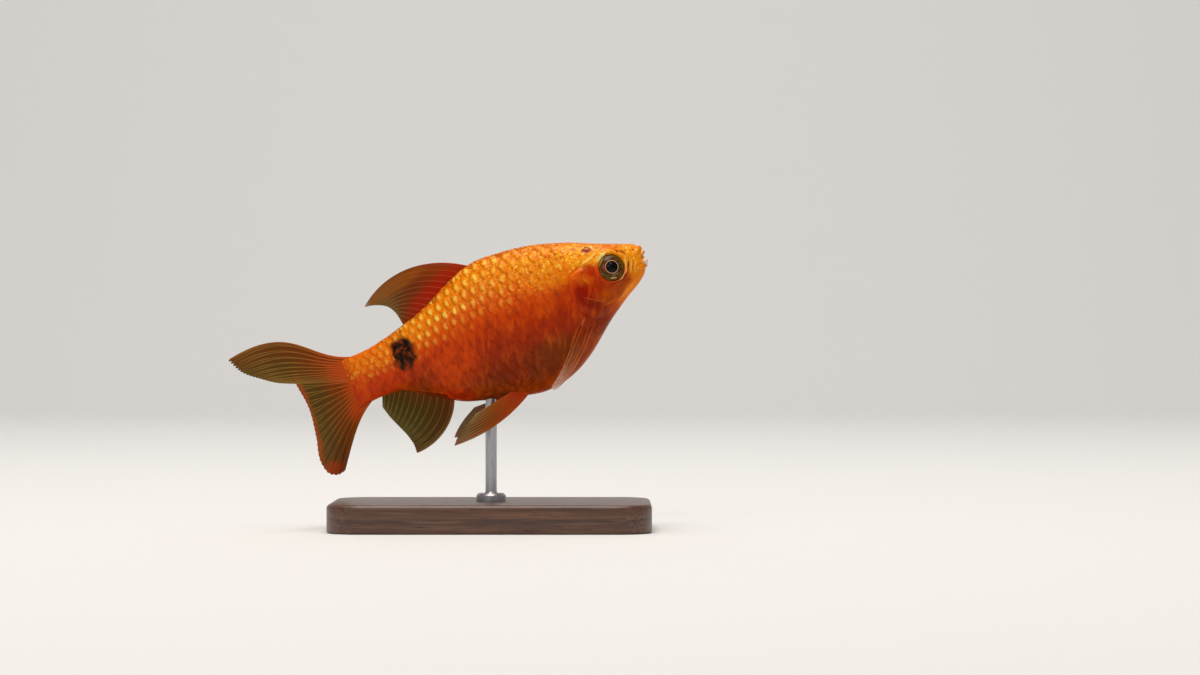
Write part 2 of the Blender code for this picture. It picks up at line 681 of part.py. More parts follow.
def main():
    clear_scene()
    model = new_collection("rosy_barb")
    tools = new_collection("cutters", hidden=True)

    nodes = {
        "head": (cut_gill_recess(head(model, tools), tools), SKIN),
        "trunk": (cut_gill_recess(body_length("trunk", STALK_CUT_X + GAP / 2,
                  HEAD_CUT_X - GAP / 2, TRUNK_RING_SPACING, model), tools), SKIN),
        "tail_stalk": (body_length("tail_stalk", TAIL_END_X, STALK_CUT_X - GAP / 2,
                       TRUNK_RING_SPACING, model), SKIN),
    }
    for word, side in (("left", 1), ("right", -1)):
        nodes[f"gill_cover_{word}"] = (gill_cover(f"gill_cover_{word}", side, model, tools), COVER)
        nodes[f"eye_{word}"] = (eye(f"eye_{word}", side, model, tools), EYE)

    clearance = body_length("body_clearance", TAIL_END_X, SNOUT_X, HEAD_RING_SPACING, tools, GAP)
    for name, design in fin_designs().items():
        if name in ("pelvic_fin", "pectoral_fin"):
            for word, side in (("left", 1), ("right", -1)):
                obj = fin(f"{name}_{word}", design, model, clearance, side)
                nodes[f"{name}_{word}"] = (obj, FIN)
        else:
            nodes[name] = (fin(name, design, model, clearance), FIN)

    # The pose: bend everything, then pitch it over the rod's foot
    pitch = math.radians(PITCH_DEG)
    support = Vector((ROD_X, 0, belly(ROD_X)))
    turned = Matrix.Rotation(-pitch, 4, "Y")
    fish_origin = Vector((-(turned @ support).x, 0, BASE_HEIGHT + BASE_TO_FISH_ORIGIN))
    pose = bpy.data.objects.new("fish_pose", None)
    model.objects.link(pose)
    pose.location = fish_origin * MM
    pose.rotation_euler = (0, -pitch, 0)
    for obj, finish in nodes.values():
        bend(obj)
        give_material(obj, finish)
        obj.parent = pose
        obj.data.shade_smooth()
        obj.data.set_sharp_from_angle(angle=math.radians(50))
    bend(clearance)
    clearance.parent = pose

    base, rod = stand(model, Vector((0, sway(ROD_X), 0)), clearance)
    give_material(base, WOOD)
    give_material(rod, STEEL)
    for obj in (base, rod):
        obj.data.shade_smooth()
        obj.data.set_sharp_from_angle(angle=math.radians(40))
    empty_collection(tools)


main()
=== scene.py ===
import math

import bmesh
import bpy
import numpy as np
from mathutils import Matrix, Vector


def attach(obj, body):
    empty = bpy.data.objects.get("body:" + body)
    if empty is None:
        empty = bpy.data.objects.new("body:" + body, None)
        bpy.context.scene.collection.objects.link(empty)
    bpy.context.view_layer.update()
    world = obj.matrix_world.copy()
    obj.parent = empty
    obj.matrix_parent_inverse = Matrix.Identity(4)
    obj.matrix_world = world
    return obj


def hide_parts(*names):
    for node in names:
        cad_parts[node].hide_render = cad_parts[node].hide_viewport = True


# The looks of a gold rosy barb at life size, nose up over a walnut base on one steel rod.
# The fish is worked out in its own frame, in millimetres: x forward from the base of the tail
# fin, y to the fish's left and z up. setInPose then bends it, pitches it and turns mm into m.

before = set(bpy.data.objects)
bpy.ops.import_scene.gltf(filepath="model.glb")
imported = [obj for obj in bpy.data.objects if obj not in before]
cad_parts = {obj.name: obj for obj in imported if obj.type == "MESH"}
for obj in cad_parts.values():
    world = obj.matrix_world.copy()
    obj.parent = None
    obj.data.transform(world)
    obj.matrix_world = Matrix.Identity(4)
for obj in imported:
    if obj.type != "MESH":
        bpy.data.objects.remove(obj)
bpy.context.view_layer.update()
print("scene: frame loaded,", len(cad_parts), "nodes")

mm = 0.001

pose = {
    "pitchDeg": 22.2,  # nose up
    "tailSwing": 4.5,  # to the fish's left, at the tip of the tail fin
    "tailSwingFromX": 24.0,
    "tailTipX": -20.0,
    "headTurn": 0.8,  # to the left, at the snout
    "headTurnFromX": 36.0,
    "rodX": 21.0,  # where the rod meets the belly
    "originHeight": 26.0,  # of the fish's frame over the floor
}

body = {
    "snoutX": 55.3,
    "tailEndX": -1.0,
    "middleX": 27.0,
    "noseRounding": 1.2,
    "back": ((-1, 4.3), (3.5, 4.3), (8, 5.0), (12, 6.0), (15, 6.8), (18, 8.1), (22, 9.9), (26, 11.3),
             (32, 11.25), (38, 10.3), (43, 8.65), (48, 6.4), (52, 4.7), (55.3, 3.4)),
    "belly": ((-1, -4.9), (3.5, -4.5), (8, -5.1), (12, -7.5), (15.5, -10.2), (20, -11.9), (25, -13.3),
              (31, -14.5), (37, -13.25), (41, -11.0), (45, -7.75), (50, -4.5), (53.3, -2.6), (55.3, -0.9)),
    "halfWidth": ((-1, 0.3), (1, 0.9), (5, 1.7), (12, 2.9), (20, 4.3), (28, 5.1), (35, 5.2),
                  (42, 4.5), (48, 3.5), (52, 2.5), (55.3, 1.5)),
    "widest": ((-1, -0.3), (12, -0.6), (30, -1.6), (42, -0.8), (50, 0.6), (55.3, 1.1)),
    "upperRoundness": ((-1, 2.0), (26, 1.85), (40, 2.0), (49, 2.5), (55.3, 2.2)),
    "lowerRoundness": 2.15,
}


# Helpers

def smoothLine(points):
    # A smooth curve through (position, value) pairs; it takes a number or an array
    at = np.array([p[0] for p in points], float)
    values = np.array([np.atleast_1d(p[1]) for p in points], float)
    slopes = np.gradient(values, at, axis=0)

    def line(x):
        x = np.clip(np.asarray(x, float), at[0], at[-1])
        i = np.clip(np.searchsorted(at, x, side="right") - 1, 0, len(at) - 2)
        span = (at[i + 1] - at[i])[..., None]
        s = (x - at[i])[..., None] / span
        value = (
            values[i] * (1 + 2 * s) * (1 - s) ** 2
            + values[i + 1] * s * s * (3 - 2 * s)
            + span * slopes[i] * s * (1 - s) ** 2
            - span * slopes[i + 1] * s * s * (1 - s)
        )
        return value[..., 0] if values.shape[1] == 1 else value

    return line


def smoothStep(low, high, value):
    share = np.clip((value - low) / (high - low), 0.0, 1.0)
    return share * share * (3 - 2 * share)


def linearColour(hexCode, alpha=1.0):
    # An sRGB hex value as the linear colour that a socket takes
    parts = [int(hexCode[i:i + 2], 16) / 255 for i in (1, 3, 5)]
    return (*[c / 12.92 if c <= 0.04045 else ((c + 0.055) / 1.055) ** 2.4 for c in parts], alpha)


def fillSockets(tree, node, links):
    # Fills input sockets, by name or number, with a value, a socket or a node's first output
    for place, value in links.items():
        if isinstance(value, bpy.types.Node):
            value = next(s for s in value.outputs if s.enabled)
        if isinstance(value, bpy.types.NodeSocket):
            tree.links.new(value, node.inputs[place])
        else:
            node.inputs[place].default_value = value


def addNode(tree, kind, links=None, **settings):
    node = tree.nodes.new(kind)
    for name, value in settings.items():
        setattr(node, name, value)
    fillSockets(tree, node, links or {})
    return node


def newMaterial(name):
    material = bpy.data.materials.new(name)
    material.use_nodes = True
    tree = material.node_tree
    return material, tree, tree.nodes["Principled BSDF"]


def wireShader(tree, shader, **values):
    fillSockets(tree, shader, {name.replace("_", " "): value for name, value in values.items()})


def setRamp(node, stops):
    # stops are (place, hex) pairs from 0 to 1
    ramp = node.color_ramp
    while len(ramp.elements) < len(stops):
        ramp.elements.new(0.5)
    for element, (place, hexCode) in zip(ramp.elements, stops):
        element.position = place
        element.color = linearColour(hexCode)
    return node


def setCurve(node, points):
    # points are (x, y) pairs from 0 to 1
    curve = node.mapping.curves[0]
    curve.points[0].location = points[0]
    curve.points[-1].location = points[-1]
    for point in points[1:-1]:
        curve.points.new(*point)
    node.mapping.update()
    return node


def newObject(name, data):
    obj = bpy.data.objects.new(name, data)
    bpy.context.scene.collection.objects.link(obj)
    return obj


def meshObject(name, points, faces, edges=()):
    mesh = bpy.data.meshes.new(name)
    mesh.from_pydata(np.asarray(points, float).tolist(), list(edges), faces)
    return newObject(name, mesh)


def gridFaces(rows, columns, closed=False):
    faces = []
    for i in range(rows - 1):
        for j in range(columns if closed else columns - 1):
            k = (j + 1) % columns
            faces.append((i * columns + j, i * columns + k, (i + 1) * columns + k, (i + 1) * columns + j))
    return faces


def facingOut(obj, mergeBelow=0.001):
    shape = bmesh.new()
    shape.from_mesh(obj.data)
    bmesh.ops.remove_doubles(shape, verts=shape.verts, dist=mergeBelow)
    bmesh.ops.recalc_face_normals(shape, faces=shape.faces)
    shape.to_mesh(obj.data)
    shape.free()
    return obj


def applyModifiers(obj):
    bpy.context.view_layer.update()
    graph = bpy.context.evaluated_depsgraph_get()
    mesh = bpy.data.meshes.new_from_object(obj.evaluated_get(graph))
    obj.modifiers.clear()
    obj.data = mesh
    return obj


def triangleCount(obj):
    obj.data.calc_loop_triangles()
    return len(obj.data.loop_triangles)


def addAttribute(obj, name, kind, values):
    attribute = obj.data.attributes.new(name, kind, "POINT")
    field = "value" if kind == "FLOAT" else "vector"
    attribute.data.foreach_set(field, np.asarray(values, float).ravel())


def vertexArray(obj):
    points = np.empty(len(obj.data.vertices) * 3)
    obj.data.vertices.foreach_get("co", points)
    return points.reshape(-1, 3)


def sway(x):
    # Sideways shift of the midline in this pose
    tail = np.maximum(0.0, (pose["tailSwingFromX"] - x) / (pose["tailSwingFromX"] - pose["tailTipX"]))
    head = np.maximum(0.0, (x - pose["headTurnFromX"]) / (body["snoutX"] - pose["headTurnFromX"]))
    return pose["tailSwing"] * tail**2 + pose["headTurn"] * head**2


back = smoothLine(body["back"])
belly = smoothLine(body["belly"])
halfWidth = smoothLine(body["halfWidth"])
widest = smoothLine(body["widest"])
upperRoundness = smoothLine(body["upperRoundness"])

pitchTurn = Matrix.Rotation(-math.radians(pose["pitchDeg"]), 3, "Y")
rodTop = pitchTurn @ Vector((pose["rodX"], 0, float(belly(pose["rodX"]))))
fishOrigin = Vector((-rodTop.x, 0, pose["originHeight"]))


def setInPose(obj):
    # Bends a piece with the midline, pitches it and turns its millimetres into metres
    points = vertexArray(obj)
    points[:, 1] += sway(points[:, 0])
    points = (points @ np.array(pitchTurn).T + np.array(fishOrigin)) * mm
    obj.data.vertices.foreach_set("co", points.ravel())
    obj.data.update()


def finishPiece(obj, materials, nodes):
    obj.data.materials.clear()
    for material in materials:
        obj.data.materials.append(material)
    obj.data.shade_smooth()
    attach(obj, "root")
    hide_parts(*nodes)


def newGeometryTree(name, inputs):
    # A Geometry Nodes tree with named inputs, and the sockets that they come out of
    tree = bpy.data.node_groups.new(name, "GeometryNodeTree")
    for label, kind in (("Geometry", "Geometry"), *inputs):
        tree.interface.new_socket(label, in_out="INPUT", socket_type="NodeSocket" + kind)
    tree.interface.new_socket("Geometry", in_out="OUTPUT", socket_type="NodeSocketGeometry")
    return tree, tree.nodes.new("NodeGroupInput").outputs


def endGeometryTree(tree, geometry, surface):
    smooth = addNode(tree, "GeometryNodeSetShadeSmooth", {0: geometry})
    surfaced = addNode(tree, "GeometryNodeSetMaterial", {0: smooth, "Material": surface})
    addNode(tree, "NodeGroupOutput", {0: surfaced})
    return tree


def runTree(obj, tree, **inputs):
    # Gives obj the tree as a modifier, sets its inputs by identifier and applies it
    modifier = obj.modifiers.new(tree.name, "NODES")
    modifier.node_group = tree
    for name, value in inputs.items():
        item = tree.interface.items_tree[name.replace("_", " ")]
        modifier[item.identifier] = value
    return applyModifiers(obj)


def readAttribute(tree, name):
    # A vector attribute of the mesh in a material: the whole, its x and its y
    place = addNode(tree, "ShaderNodeAttribute", attribute_name=name).outputs["Vector"]
    split = addNode(tree, "ShaderNodeSeparateXYZ", {0: place})
    return place, split.outputs[0], split.outputs[1]


# Shape of the body

def snoutShare(x):
    start = body["snoutX"] - body["noseRounding"]
    beyond = np.clip((x - start) / body["noseRounding"], 0.0, 1.0)
    return np.sqrt(1 - beyond**2)


def signedPower(value, power):
    return np.sign(value) * np.abs(value) ** power


def bodyPoints(x, turn, grow=0.0):
    # Points of the body's surface; turn 0 is the back and a quarter turn the left side
    middle = widest(x)
    upper = np.cos(turn) >= 0
    roundness = np.where(upper, upperRoundness(x), body["lowerRoundness"])
    height = np.where(upper, back(x) - middle, middle - belly(x)) * snoutShare(x) + grow
    width = halfWidth(x) * snoutShare(x) + grow
    along = x + grow * (x - body["middleX"]) / (body["snoutX"] - body["middleX"])
    return np.stack([
        along + 0 * turn,
        width * signedPower(np.sin(turn), 2 / roundness),
        middle + height * signedPower(np.cos(turn), 2 / roundness),
    ], -1)


def flank(x, z):
    # Half width of the body at a height
    middle = widest(x)
    roundness = np.where(z >= middle, upperRoundness(x), body["lowerRoundness"])
    height = np.where(z >= middle, back(x) - middle, middle - belly(x)) * snoutShare(x)
    reach = np.minimum(1.0, np.abs(z - middle) / height)
    return halfWidth(x) * snoutShare(x) * (1 - reach**roundness) ** (1 / roundness)


def gridNormals(points):
    # Outward directions of a grid whose first way runs forward and second way round the body
    forward = np.gradient(points, axis=0)
    round_ = np.gradient(points, axis=1)
    normals = np.cross(forward, round_)
    normals /= np.linalg.norm(normals, axis=-1, keepdims=True) + 1e-12
    middle = points.mean(axis=1, keepdims=True)
    flip = np.sign((normals * (points - middle)).sum(-1, keepdims=True))
    return normals * np.where(flip == 0, 1, flip)


def outward(side, forwardDeg, upDeg):
    # The way a side of the head faces; side is 1 on the left and -1 on the right
    forward, up = math.radians(forwardDeg), math.radians(upDeg)
    return Vector((
        math.sin(forward) * math.cos(up), side * math.cos(forward) * math.cos(up), math.sin(up)))


# Markings, shared by the skin and the scales. They are told in the fish's own side view, with
# x forward and z up in millimetres, so both sides carry them.

markings = {
    # from the belly (0) over the edge between red and gold (0.5) to the back (1); the red is its own
    # colour darkened towards the belly as painted shade from the light above, the lowest stop lightens it
    # again as painted light against the shade under the body, and the last stop is painted shade along the
    # back's top edge
    "trunk": ((0.0, "#ac4406"), (0.07, "#943604"), (0.2, "#8c2600"), (0.34, "#b23000"), (0.45, "#d04200"),
              (0.57, "#e05800"), (0.72, "#ec7a00"), (0.88, "#f48802"), (0.96, "#e67400"),
              (1.0, "#b85200")),
    # height at which the red turns to gold, by x
    "goldFrom": ((-3, -1.0), (5, -1.0), (15, 1.0), (25, 3.0), (35, 2.5), (45, 3.0), (51, 0.6),
                 (56, -1.5)),
    # name, centre (x, z), half sizes, turn in degrees, softness, colour, strength; fields lie under
    # the mottling and details over it
    "fields": (
        ("stalkRed", (3.0, -2.2), (7.0, 3.2), 0, 0.9, "#d03a00", 0.8),
        ("stalkGold", (3.4, 3.1), (6.6, 2.0), 0, 0.9, "#e66200", 0.8),
        ("tailRed", (-0.8, -0.4), (1.1, 5.0), 0, 1.0, "#b83200", 0.75),
        ("ventRed", (16.2, -9.4), (3.0, 1.3), -25, 0.9, "#bc2604", 0.75),
        ("flankRed", (17.5, -4.5), (4.8, 3.4), 20, 1.0, "#e04800", 0.65),
        ("bellyShade", (30.0, -9.5), (9.0, 2.6), 8, 1.0, "#6a2a00", 0.6),
        ("bellyRed", (27.0, -7.0), (2.2, 5.2), 0, 1.0, "#982a02", 0.5),
        ("breastOlive", (35.5, -9.0), (3.6, 3.0), -20, 1.0, "#843c04", 0.5),
        ("breastLow", (42.5, -8.6), (3.4, 1.2), 36, 1.0, "#98380a", 0.7),
        ("shoulderRed", (39.3, -3.2), (3.2, 4.2), 8, 1.0, "#ac3004", 0.6),
        ("shoulderGold", (38.8, 4.6), (4.2, 2.8), -18, 0.9, "#f08a06", 0.6),
        ("napeGold", (45.6, 5.0), (5.0, 2.2), -24, 0.8, "#f89c14", 0.85),
        ("snoutGold", (53.2, 1.8), (2.6, 3.2), 0, 0.8, "#f2900c", 0.9),
        ("cheek", (48.4, -2.9), (3.6, 1.9), 16, 0.9, "#b44a04", 0.85),
        ("chinGold", (53.4, -1.2), (1.6, 1.4), 30, 0.8, "#ee860c", 0.8),
        ("throat", (47.4, -5.6), (3.6, 1.1), 31, 0.9, "#bc4406", 0.8),
        ("throatRed", (44.4, -7.0), (2.2, 1.3), 34, 0.9, "#7c2204", 0.75),
        ("gillRed", (43.3, -0.5), (2.2, 1.6), 72, 0.9, "#960a00", 0.9),
        # painted shadow under the rear edge of the preopercle
        ("preopercleShadow", (44.0, -3.5), (2.3, 0.9), -39, 0.9, "#7c1602", 0.8),
        ("gillOrange", (44.3, 1.3), (1.6, 1.1), 0, 1.4, "#e06404", 0.55),
        ("gillRear", (41.3, 0.2), (2.7, 0.45), 70, 1.0, "#c03408", 0.55),
        ("earRed", (45.5, 2.2), (1.3, 1.0), -30, 0.9, "#bc2004", 0.85),
        ("eyeRearRed", (46.6, 1.5), (1.5, 0.34), 74, 0.8, "#e84414", 0.9),
        ("underEyeRed", (47.0, -1.2), (1.5, 0.7), -20, 0.9, "#a83004", 0.7),
    ),
    "details": (
        ("gillFleck", (44.2, 1.0), (0.8, 0.26), -68, 1.2, "#f08a20", 0.4),
        ("gillLine", (43.7, -2.4), (1.0, 0.12), -38, 0.9, "#c85c20", 0.45),
        ("gillLine2", (45.3, -3.45), (1.0, 0.12), -25, 0.9, "#c86024", 0.4),
        ("breastLine", (41.1, -5.6), (0.9, 0.16), 47, 0.8, "#d06438", 0.6),
        ("jawBand", (51.7, -3.1), (3.4, 0.9), 31, 1.1, "#f48206", 0.9),
        ("jawLine", (50.2, -3.5), (2.3, 0.16), 27, 1.0, "#ffb040", 0.5),
        ("jawLineRear", (46.9, -4.25), (1.2, 0.2), 4, 1.0, "#d06c1c", 0.5),
        ("browRed", (49.6, 4.95), (1.3, 0.35), -22, 0.9, "#dc4a10", 0.6),
        ("napeSpeckle", (46.3, 5.6), (0.5, 0.36), -20, 0.4, "#842000", 1.0),
        ("napeSpeckle2", (45.75, 5.95), (0.34, 0.28), 30, 0.4, "#882200", 0.95),
        ("napeSpeckle3", (46.9, 5.7), (0.2, 0.42), 10, 0.5, "#8a1e02", 0.9),
        ("napeSpeckle4", (46.35, 6.2), (0.3, 0.16), -10, 0.5, "#882200", 0.9),
        ("napePale", (47.3, 5.95), (0.25, 0.2), 0, 0.6, "#ffe088", 0.8),
        ("napePale2", (45.5, 5.35), (0.3, 0.2), 20, 0.6, "#ffd870", 0.8),
        ("eyeStreak", (46.0, 4.12), (1.5, 0.2), 15, 0.8, "#ffcc60", 0.9),
        ("orbitGlint", (48.3, 3.7), (1.05, 0.28), 26, 0.8, "#ffe890", 0.95),
        ("orbitFront", (51.85, 1.3), (1.5, 0.16), 72, 0.9, "#f8c060", 0.7),
        ("orbitLow", (50.6, -0.75), (1.1, 0.15), 38, 0.9, "#e0ac68", 0.6),
        # painted shade in the creases round the eye
        ("crease", (52.1, 0.6), (1.1, 0.13), 60, 0.8, "#5c1400", 0.9),
        ("creaseLow", (50.9, -0.95), (0.9, 0.12), 34, 0.8, "#681600", 0.85),
        ("creaseUnder", (49.3, -1.5), (1.1, 0.13), 4, 0.8, "#681600", 0.75),
        ("wrinklePale", (52.5, 0.25), (1.0, 0.11), 64, 0.8, "#f8c464", 0.8),
        # painted shade in a wrinkle before the eye
        ("wrinkleShade", (52.8, 0.1), (0.9, 0.09), 66, 0.8, "#923402", 0.6),
        ("wrinklePale2", (53.1, -0.1), (0.8, 0.1), 68, 0.8, "#f0b048", 0.6),
        ("nostrilFront", (52.05, 2.95), (0.42, 0.1), -45, 0.8, "#4a1000", 0.85),
        ("nostrilRear", (51.3, 3.55), (0.42, 0.1), -38, 0.8, "#4a1000", 0.85),
        ("snoutDot", (53.85, 2.8), (0.2, 0.2), 0, 0.8, "#8a2a02", 0.8),
        ("lipLine", (55.4, 2.2), (0.7, 0.16), 72, 0.8, "#ffe8c0", 0.6),
        ("lipTip", (55.45, 0.15), (0.62, 0.75), 0, 0.9, "#f6e0d0", 0.85),
        ("chinLine", (54.95, -1.1), (0.95, 0.2), 47, 0.9, "#f4c4a0", 0.7),
    ),
    "uneven": (0.45, 0.22),  # how far the edges of fields and details wander, in mm
    "blotch": ((10.0, 1.1), (2.2, 3.1)),  # the dark spot before the tail: centre and half sizes
    "blotchUneven": 1.2,
    "blotchColours": ((0.38, "#120602"), (0.5, "#3a1602"), (0.62, "#7c3004")),
    "mottle": 0.55,  # size of the pale and dark patches in the gold, in mm
    # noise from and to, strength and colour of what is mixed in there
    "patches": ((0.54, 0.68, 1.0, "#ffb424"), (0.49, 0.36, 0.75, "#cc5400")),
    "fleck": 0.5,  # size of the bright flecks in the gold, partly its own speckle and partly painted glints
    "flecks": ((0.5, 0.25, 1.0, "#ffcc50"),),
    "streakTurn": 68, "streakSize": (3.2, 1.1, 1.1),
    "streaks": ((0.5, 0.7, 0.42, "#dc5c06"), (0.5, 0.32, 0.4, "#761e00")),
    # strength of the patches and flecks, and of the painted glints on the scales, by x
    "mottleAt": ((-3, 0.35), (20, 0.35), (27, 0.65), (34, 0.85), (48, 1.0), (52, 0.9), (56, 0.7)),
    "spotsAt": ((-3, 0.1), (8, 0.45), (15, 1.0), (24, 1.0), (30, 0.6), (36, 0.25), (45, 0.1), (56, 0.0)),
}


def fishPlaces(tree):
    # Object coordinates turned into the fish's own frame in millimetres
    turned = Matrix(pitchTurn).transposed()
    moved = -(turned @ fishOrigin)
    place = addNode(tree, "ShaderNodeTexCoord")
    return addNode(tree, "ShaderNodeMapping", {
        0: place.outputs["Object"], 1: moved, 2: (0, math.radians(pose["pitchDeg"]), 0),
        3: (1 / mm, 1 / mm, 1 / mm)})


def bodyHeightCurve(tree, x, points):
    # One of the body's lines as a node: x and height are in mm outside and 0 to 1 inside
    low, high, reach = -6.0, 58.0, 16.0
    share = addNode(tree, "ShaderNodeMapRange", {0: x, 1: low, 2: high})
    scaled = [((p - low) / (high - low), 0.5 + h / (2 * reach)) for p, h in points]
    scaled = [(0.0, scaled[0][1])] + scaled + [(1.0, scaled[-1][1])]
    curve = setCurve(addNode(tree, "ShaderNodeFloatCurve", {1: share}), scaled)
    return addNode(tree, "ShaderNodeMapRange", {0: curve, 3: -reach, 4: reach})


def nearSpot(tree, place, centre, size, turnDeg, softness):
    # 1 inside an ellipse of the side view and 0 outside it
    flat = addNode(tree, "ShaderNodeMapping", {
        0: place, 1: (centre[0], 0, centre[1]), 2: (0, -math.radians(turnDeg), 0),
        3: (size[0], 1e4, size[1])}, vector_type="TEXTURE")
    reach = addNode(tree, "ShaderNodeVectorMath", {0: flat}, operation="LENGTH")
    return addNode(tree, "ShaderNodeMapRange", {
        0: reach.outputs["Value"], 1: 1 + softness / 2, 2: 1 - softness / 2},
        interpolation_type="SMOOTHSTEP")


def wandering(tree, place, scale, reach):
    # Places pushed about by noise, so that what is drawn there gets uneven edges
    noise = addNode(tree, "ShaderNodeTexNoise", {"Vector": place, "Scale": scale, "Detail": 4.0})
    centred = addNode(tree, "ShaderNodeVectorMath", {0: noise.outputs["Color"], 1: (0.5, 0.5, 0.5)},
                      operation="SUBTRACT")
    return addNode(tree, "ShaderNodeVectorMath", {0: centred, 1: (2 * reach,) * 3, 2: place},
                   operation="MULTIPLY_ADD")


def mixColours(tree, share, first, second, **settings):
    node = addNode(tree, "ShaderNodeMix", {0: share, 6: first, 7: second}, data_type="RGBA", **settings)
    return node.outputs[2]


def paintSpots(tree, place, colour, spots):
    for name, centre, size, turn, softness, hexCode, strength in spots:
        mask = nearSpot(tree, place, centre, size, turn, softness)
        mask.label = name
        mask.inputs[4].default_value = strength
        colour = mixColours(tree, mask, colour, linearColour(hexCode))
    return colour


def paintNoise(tree, colour, noise, steps, share):
    # Mixes in the colour of each step where the noise lies in it
    for low, high, strength, hexCode in steps:
        mask = addNode(tree, "ShaderNodeMapRange", {0: noise, 1: low, 2: high, 4: strength})
        mask = addNode(tree, "ShaderNodeMath", {0: mask, 1: share}, operation="MULTIPLY")
        colour = mixColours(tree, mask, colour, linearColour(hexCode))
    return colour


def markingsGroup():
    # A node group that gives the colour of the body, and how golden it is, at each place
    tree = bpy.data.node_groups.new("barbMarkings", "ShaderNodeTree")
    tree.interface.new_socket("Colour", in_out="OUTPUT", socket_type="NodeSocketColor")
    tree.interface.new_socket("Gold", in_out="OUTPUT", socket_type="NodeSocketFloat")
    place = fishPlaces(tree)
    split = addNode(tree, "ShaderNodeSeparateXYZ", {0: place})
    x, z = split.outputs[0], split.outputs[2]
    top = bodyHeightCurve(tree, x, body["back"])
    bottom = bodyHeightCurve(tree, x, body["belly"])
    middle = bodyHeightCurve(tree, x, markings["goldFrom"])
    broad = addNode(tree, "ShaderNodeTexNoise", {"Vector": place, "Scale": 0.45, "Detail": 4.0})
    wander = addNode(tree, "ShaderNodeMapRange", {0: broad, 3: -1.8, 4: 1.8})
    height = addNode(tree, "ShaderNodeMath", {0: z, 1: wander}, operation="ADD")
    above = addNode(tree, "ShaderNodeMapRange", {0: height, 1: middle, 2: top, 4: 0.5})
    below = addNode(tree, "ShaderNodeMapRange", {0: height, 1: bottom, 2: middle, 4: 0.5})
    share = addNode(tree, "ShaderNodeMath", {0: above, 1: below}, operation="ADD")
    colour = setRamp(addNode(tree, "ShaderNodeValToRGB", {0: share}), markings["trunk"]).outputs[0]

    uneven = wandering(tree, place, 1.1, markings["uneven"][0])
    colour = paintSpots(tree, uneven, colour, markings["fields"])

    # Pale and dark patches in the gold
    gold = addNode(tree, "ShaderNodeMapRange", {0: share, 1: 0.42, 2: 0.7})
    mottleAt = bodyHeightCurve(tree, x, markings["mottleAt"])
    mottled = addNode(tree, "ShaderNodeMath", {0: gold, 1: mottleAt}, operation="MULTIPLY")
    patches = addNode(tree, "ShaderNodeTexNoise", {
        "Vector": place, "Scale": 1 / markings["mottle"], "Detail": 3.0, "Distortion": 0.5})
    colour = paintNoise(tree, colour, patches, markings["patches"], mottled)
    # bright flecks in the gold: partly its own speckle, partly painted glints of its small scales
    cells = addNode(tree, "ShaderNodeTexVoronoi", {
        "Vector": wandering(tree, place, 2.6, 0.25), "Scale": 1 / markings["fleck"]})
    chosen = addNode(tree, "ShaderNodeMapRange", {
        0: addNode(tree, "ShaderNodeSeparateXYZ", {0: cells.outputs["Color"]}), 1: 0.5, 2: 0.8})
    chosen = addNode(tree, "ShaderNodeMath", {0: chosen, 1: mottled}, operation="MULTIPLY")
    colour = paintNoise(tree, colour, cells.outputs["Distance"], markings["flecks"], chosen)
    # soft streaks up and down the red, where the muscle shows through
    streakPlace = addNode(tree, "ShaderNodeMapping", {
        0: place, 2: (0, -math.radians(markings["streakTurn"]), 0), 3: markings["streakSize"]},
        vector_type="TEXTURE")
    streaks = addNode(tree, "ShaderNodeTexNoise", {
        "Vector": streakPlace, "Scale": 1.0, "Detail": 4.0, "Distortion": 0.4})
    red = addNode(tree, "ShaderNodeMapRange", {0: share, 1: 0.7, 2: 0.4})
    colour = paintNoise(tree, colour, streaks, markings["streaks"], red)
    fine = wandering(tree, place, 1.6, markings["uneven"][1])
    colour = paintSpots(tree, fine, colour, markings["details"])

    # The dark spot before the tail
    rough = wandering(tree, place, 0.7, markings["blotchUneven"])
    blotch = nearSpot(tree, rough, *markings["blotch"], 0, 0.5)
    speckles = addNode(tree, "ShaderNodeTexNoise", {"Vector": place, "Scale": 1.3, "Detail": 4.0})
    blotchColour = setRamp(addNode(tree, "ShaderNodeValToRGB", {0: speckles}), markings["blotchColours"])
    colour = mixColours(tree, blotch, colour, blotchColour)

    # how golden the scales are here, which sets the strength of their painted glints and rims
    spotsAt = bodyHeightCurve(tree, x, markings["spotsAt"])
    goldGlint = addNode(tree, "ShaderNodeMath", {0: gold, 1: spotsAt}, operation="MULTIPLY")
    clear = addNode(tree, "ShaderNodeMath", {0: 1.0, 1: blotch}, operation="SUBTRACT")
    goldGlint = addNode(tree, "ShaderNodeMath", {0: goldGlint, 1: clear}, operation="MULTIPLY")
    out = tree.nodes.new("NodeGroupOutput")
    tree.links.new(colour, out.inputs["Colour"])
    tree.links.new(goldGlint.outputs[0], out.inputs["Gold"])
    return tree


barbMarkings = markingsGroup()


def addMarkings(tree):
    group = tree.nodes.new("ShaderNodeGroup")
    group.node_tree = barbMarkings
    return group


